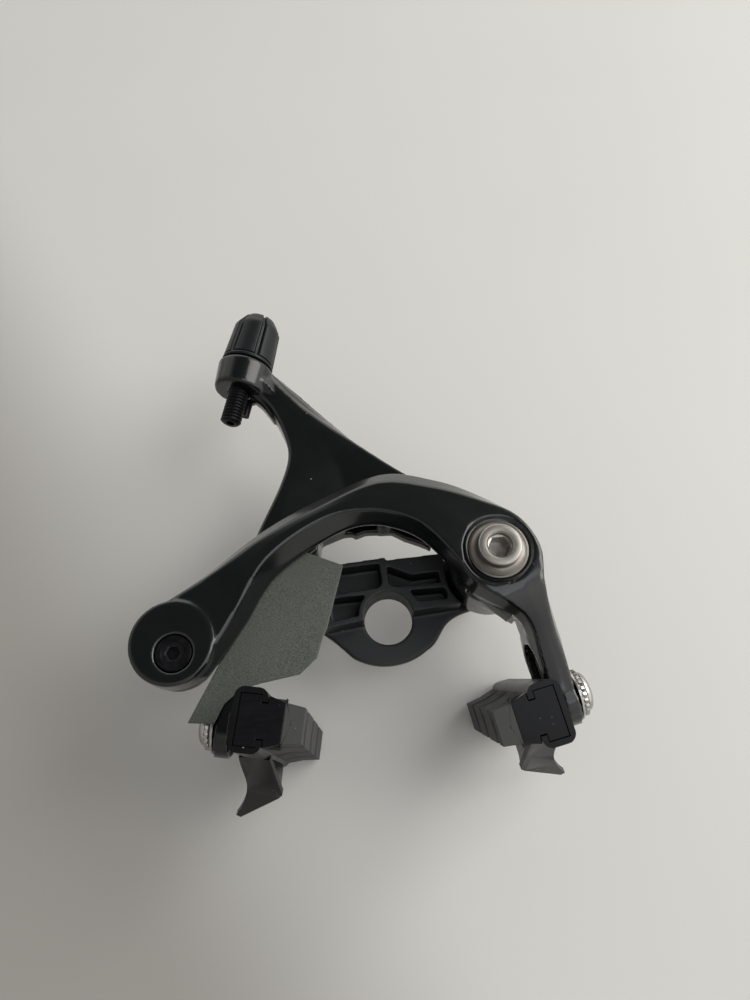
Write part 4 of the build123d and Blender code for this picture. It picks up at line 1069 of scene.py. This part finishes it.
class CALIPER_OT_foam_sheet(bpy.types.Operator):
    """Thin speckled foam sheet that lies on the rear arm, under the bow."""

    bl_idname = "caliper.foam_sheet"
    bl_label = "Foam sheet"

    def execute(self, context):
        """Grid between a left and a right edge: z rises in two slow waves of less than 0.1 mm."""
        sizes = context.scene.caliper_sizes
        left = np.array([
            (-50.3, -34.0), (-47.6, -29.2), (-45.4, -25.4), (-44.4, -23.6), (-41.5, -18.3),
            (-40.0, -15.6), (-38.6, -13.0), (-37.0, -10.4), (-29.0, 2.4), (-21.2, 6.6),
        ])
        right = np.array([
            (-44.1, -34.7), (-41.7, -30.3), (-37.6, -27.2), (-32.6, -26.2), (-23.3, -24.9),
            (-18.9, -21.3), (-17.4, -17.0), (-15.9, -14.0), (-12.4, -3.0), (-10.9, 1.8),
        ])
        rows, columns = 91, 41
        at = np.linspace(0, len(left) - 1, rows)
        edges = [
            np.column_stack([np.interp(at, np.arange(len(side)), side[:, axis]) for axis in (0, 1)])
            for side in (left, right)
        ]
        share = np.linspace(0, 1, columns)[None, :, None]
        plan = edges[0][:, None] * (1 - share) + edges[1][:, None] * share
        x, y = plan[..., 0], plan[..., 1]
        # The rear arm's front stands at 17.4, and half a millimetre lies between it and the sheet
        z = 18.0 + 0.05 * np.sin(x / 4.1 + 0.6) * np.cos(y / 6.3) + 0.03 * np.sin(y / 2.9)
        grid = np.stack([x, y, z], -1).reshape(-1, 3)
        row, column = np.arange(rows - 1)[:, None] * columns, np.arange(columns - 1)
        corner = row + column
        faces = np.stack([corner, corner + 1, corner + columns + 1, corner + columns], -1)
        mesh = bpy.data.meshes.new("foam_sheet_skin")
        mesh.from_pydata((grid * MM).tolist(), [], faces.reshape(-1, 4).tolist())
        made = new_object("foam_sheet_skin", mesh)
        dress(made, "rear_arm", "foam", "speckled_foam_skin", "foam_sheet")
        # The waves add about what this wall lacks of the solid's thickness
        wall = made.modifiers.new("thickness", "SOLIDIFY")
        wall.thickness, wall.offset = sizes.sheet_thickness * 0.8, 1.0
        return {"FINISHED"}


OPERATORS = (
    CALIPER_OT_stage,
    CALIPER_OT_front_arm,
    CALIPER_OT_rear_arm,
    CALIPER_OT_plate,
    CALIPER_OT_pivots,
    CALIPER_OT_cable_anchor,
    CALIPER_OT_adjuster,
    CALIPER_OT_small_parts,
    CALIPER_OT_shoes,
    CALIPER_OT_foam_sheet,
)


class CALIPER_PT_panel(bpy.types.Panel):
    """Sizes, colours and making of the caliper."""

    bl_idname = "CALIPER_PT_panel"
    bl_label = "Rim brake caliper"
    bl_space_type = "VIEW_3D"
    bl_region_type = "UI"
    bl_category = "Caliper"

    def draw(self, context):
        """List every size and colour, then one button for each operator."""
        for group in (context.scene.caliper_sizes, context.scene.caliper_colours):
            column = self.layout.column()
            for name in group.__annotations__:
                column.prop(group, name)
        for operator in OPERATORS:
            self.layout.operator(operator.bl_idname)


CLASSES = (CaliperSizes, CaliperColours, *OPERATORS, CALIPER_PT_panel)


def register():
    """Register the classes and hang the properties on the scene."""
    for cls in CLASSES:
        bpy.utils.register_class(cls)
    bpy.types.Scene.caliper_sizes = bpy.props.PointerProperty(type=CaliperSizes)
    bpy.types.Scene.caliper_colours = bpy.props.PointerProperty(type=CaliperColours)


def unregister():
    """Take the properties and classes away again."""
    del bpy.types.Scene.caliper_sizes
    del bpy.types.Scene.caliper_colours
    for cls in reversed(CLASSES):
        bpy.utils.unregister_class(cls)


def main():
    """Make every piece in order."""
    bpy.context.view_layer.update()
    register()
    for operator in OPERATORS:
        group, name = operator.bl_idname.split(".")
        getattr(getattr(bpy.ops, group), name)()


if __name__ == "__main__":
    main()
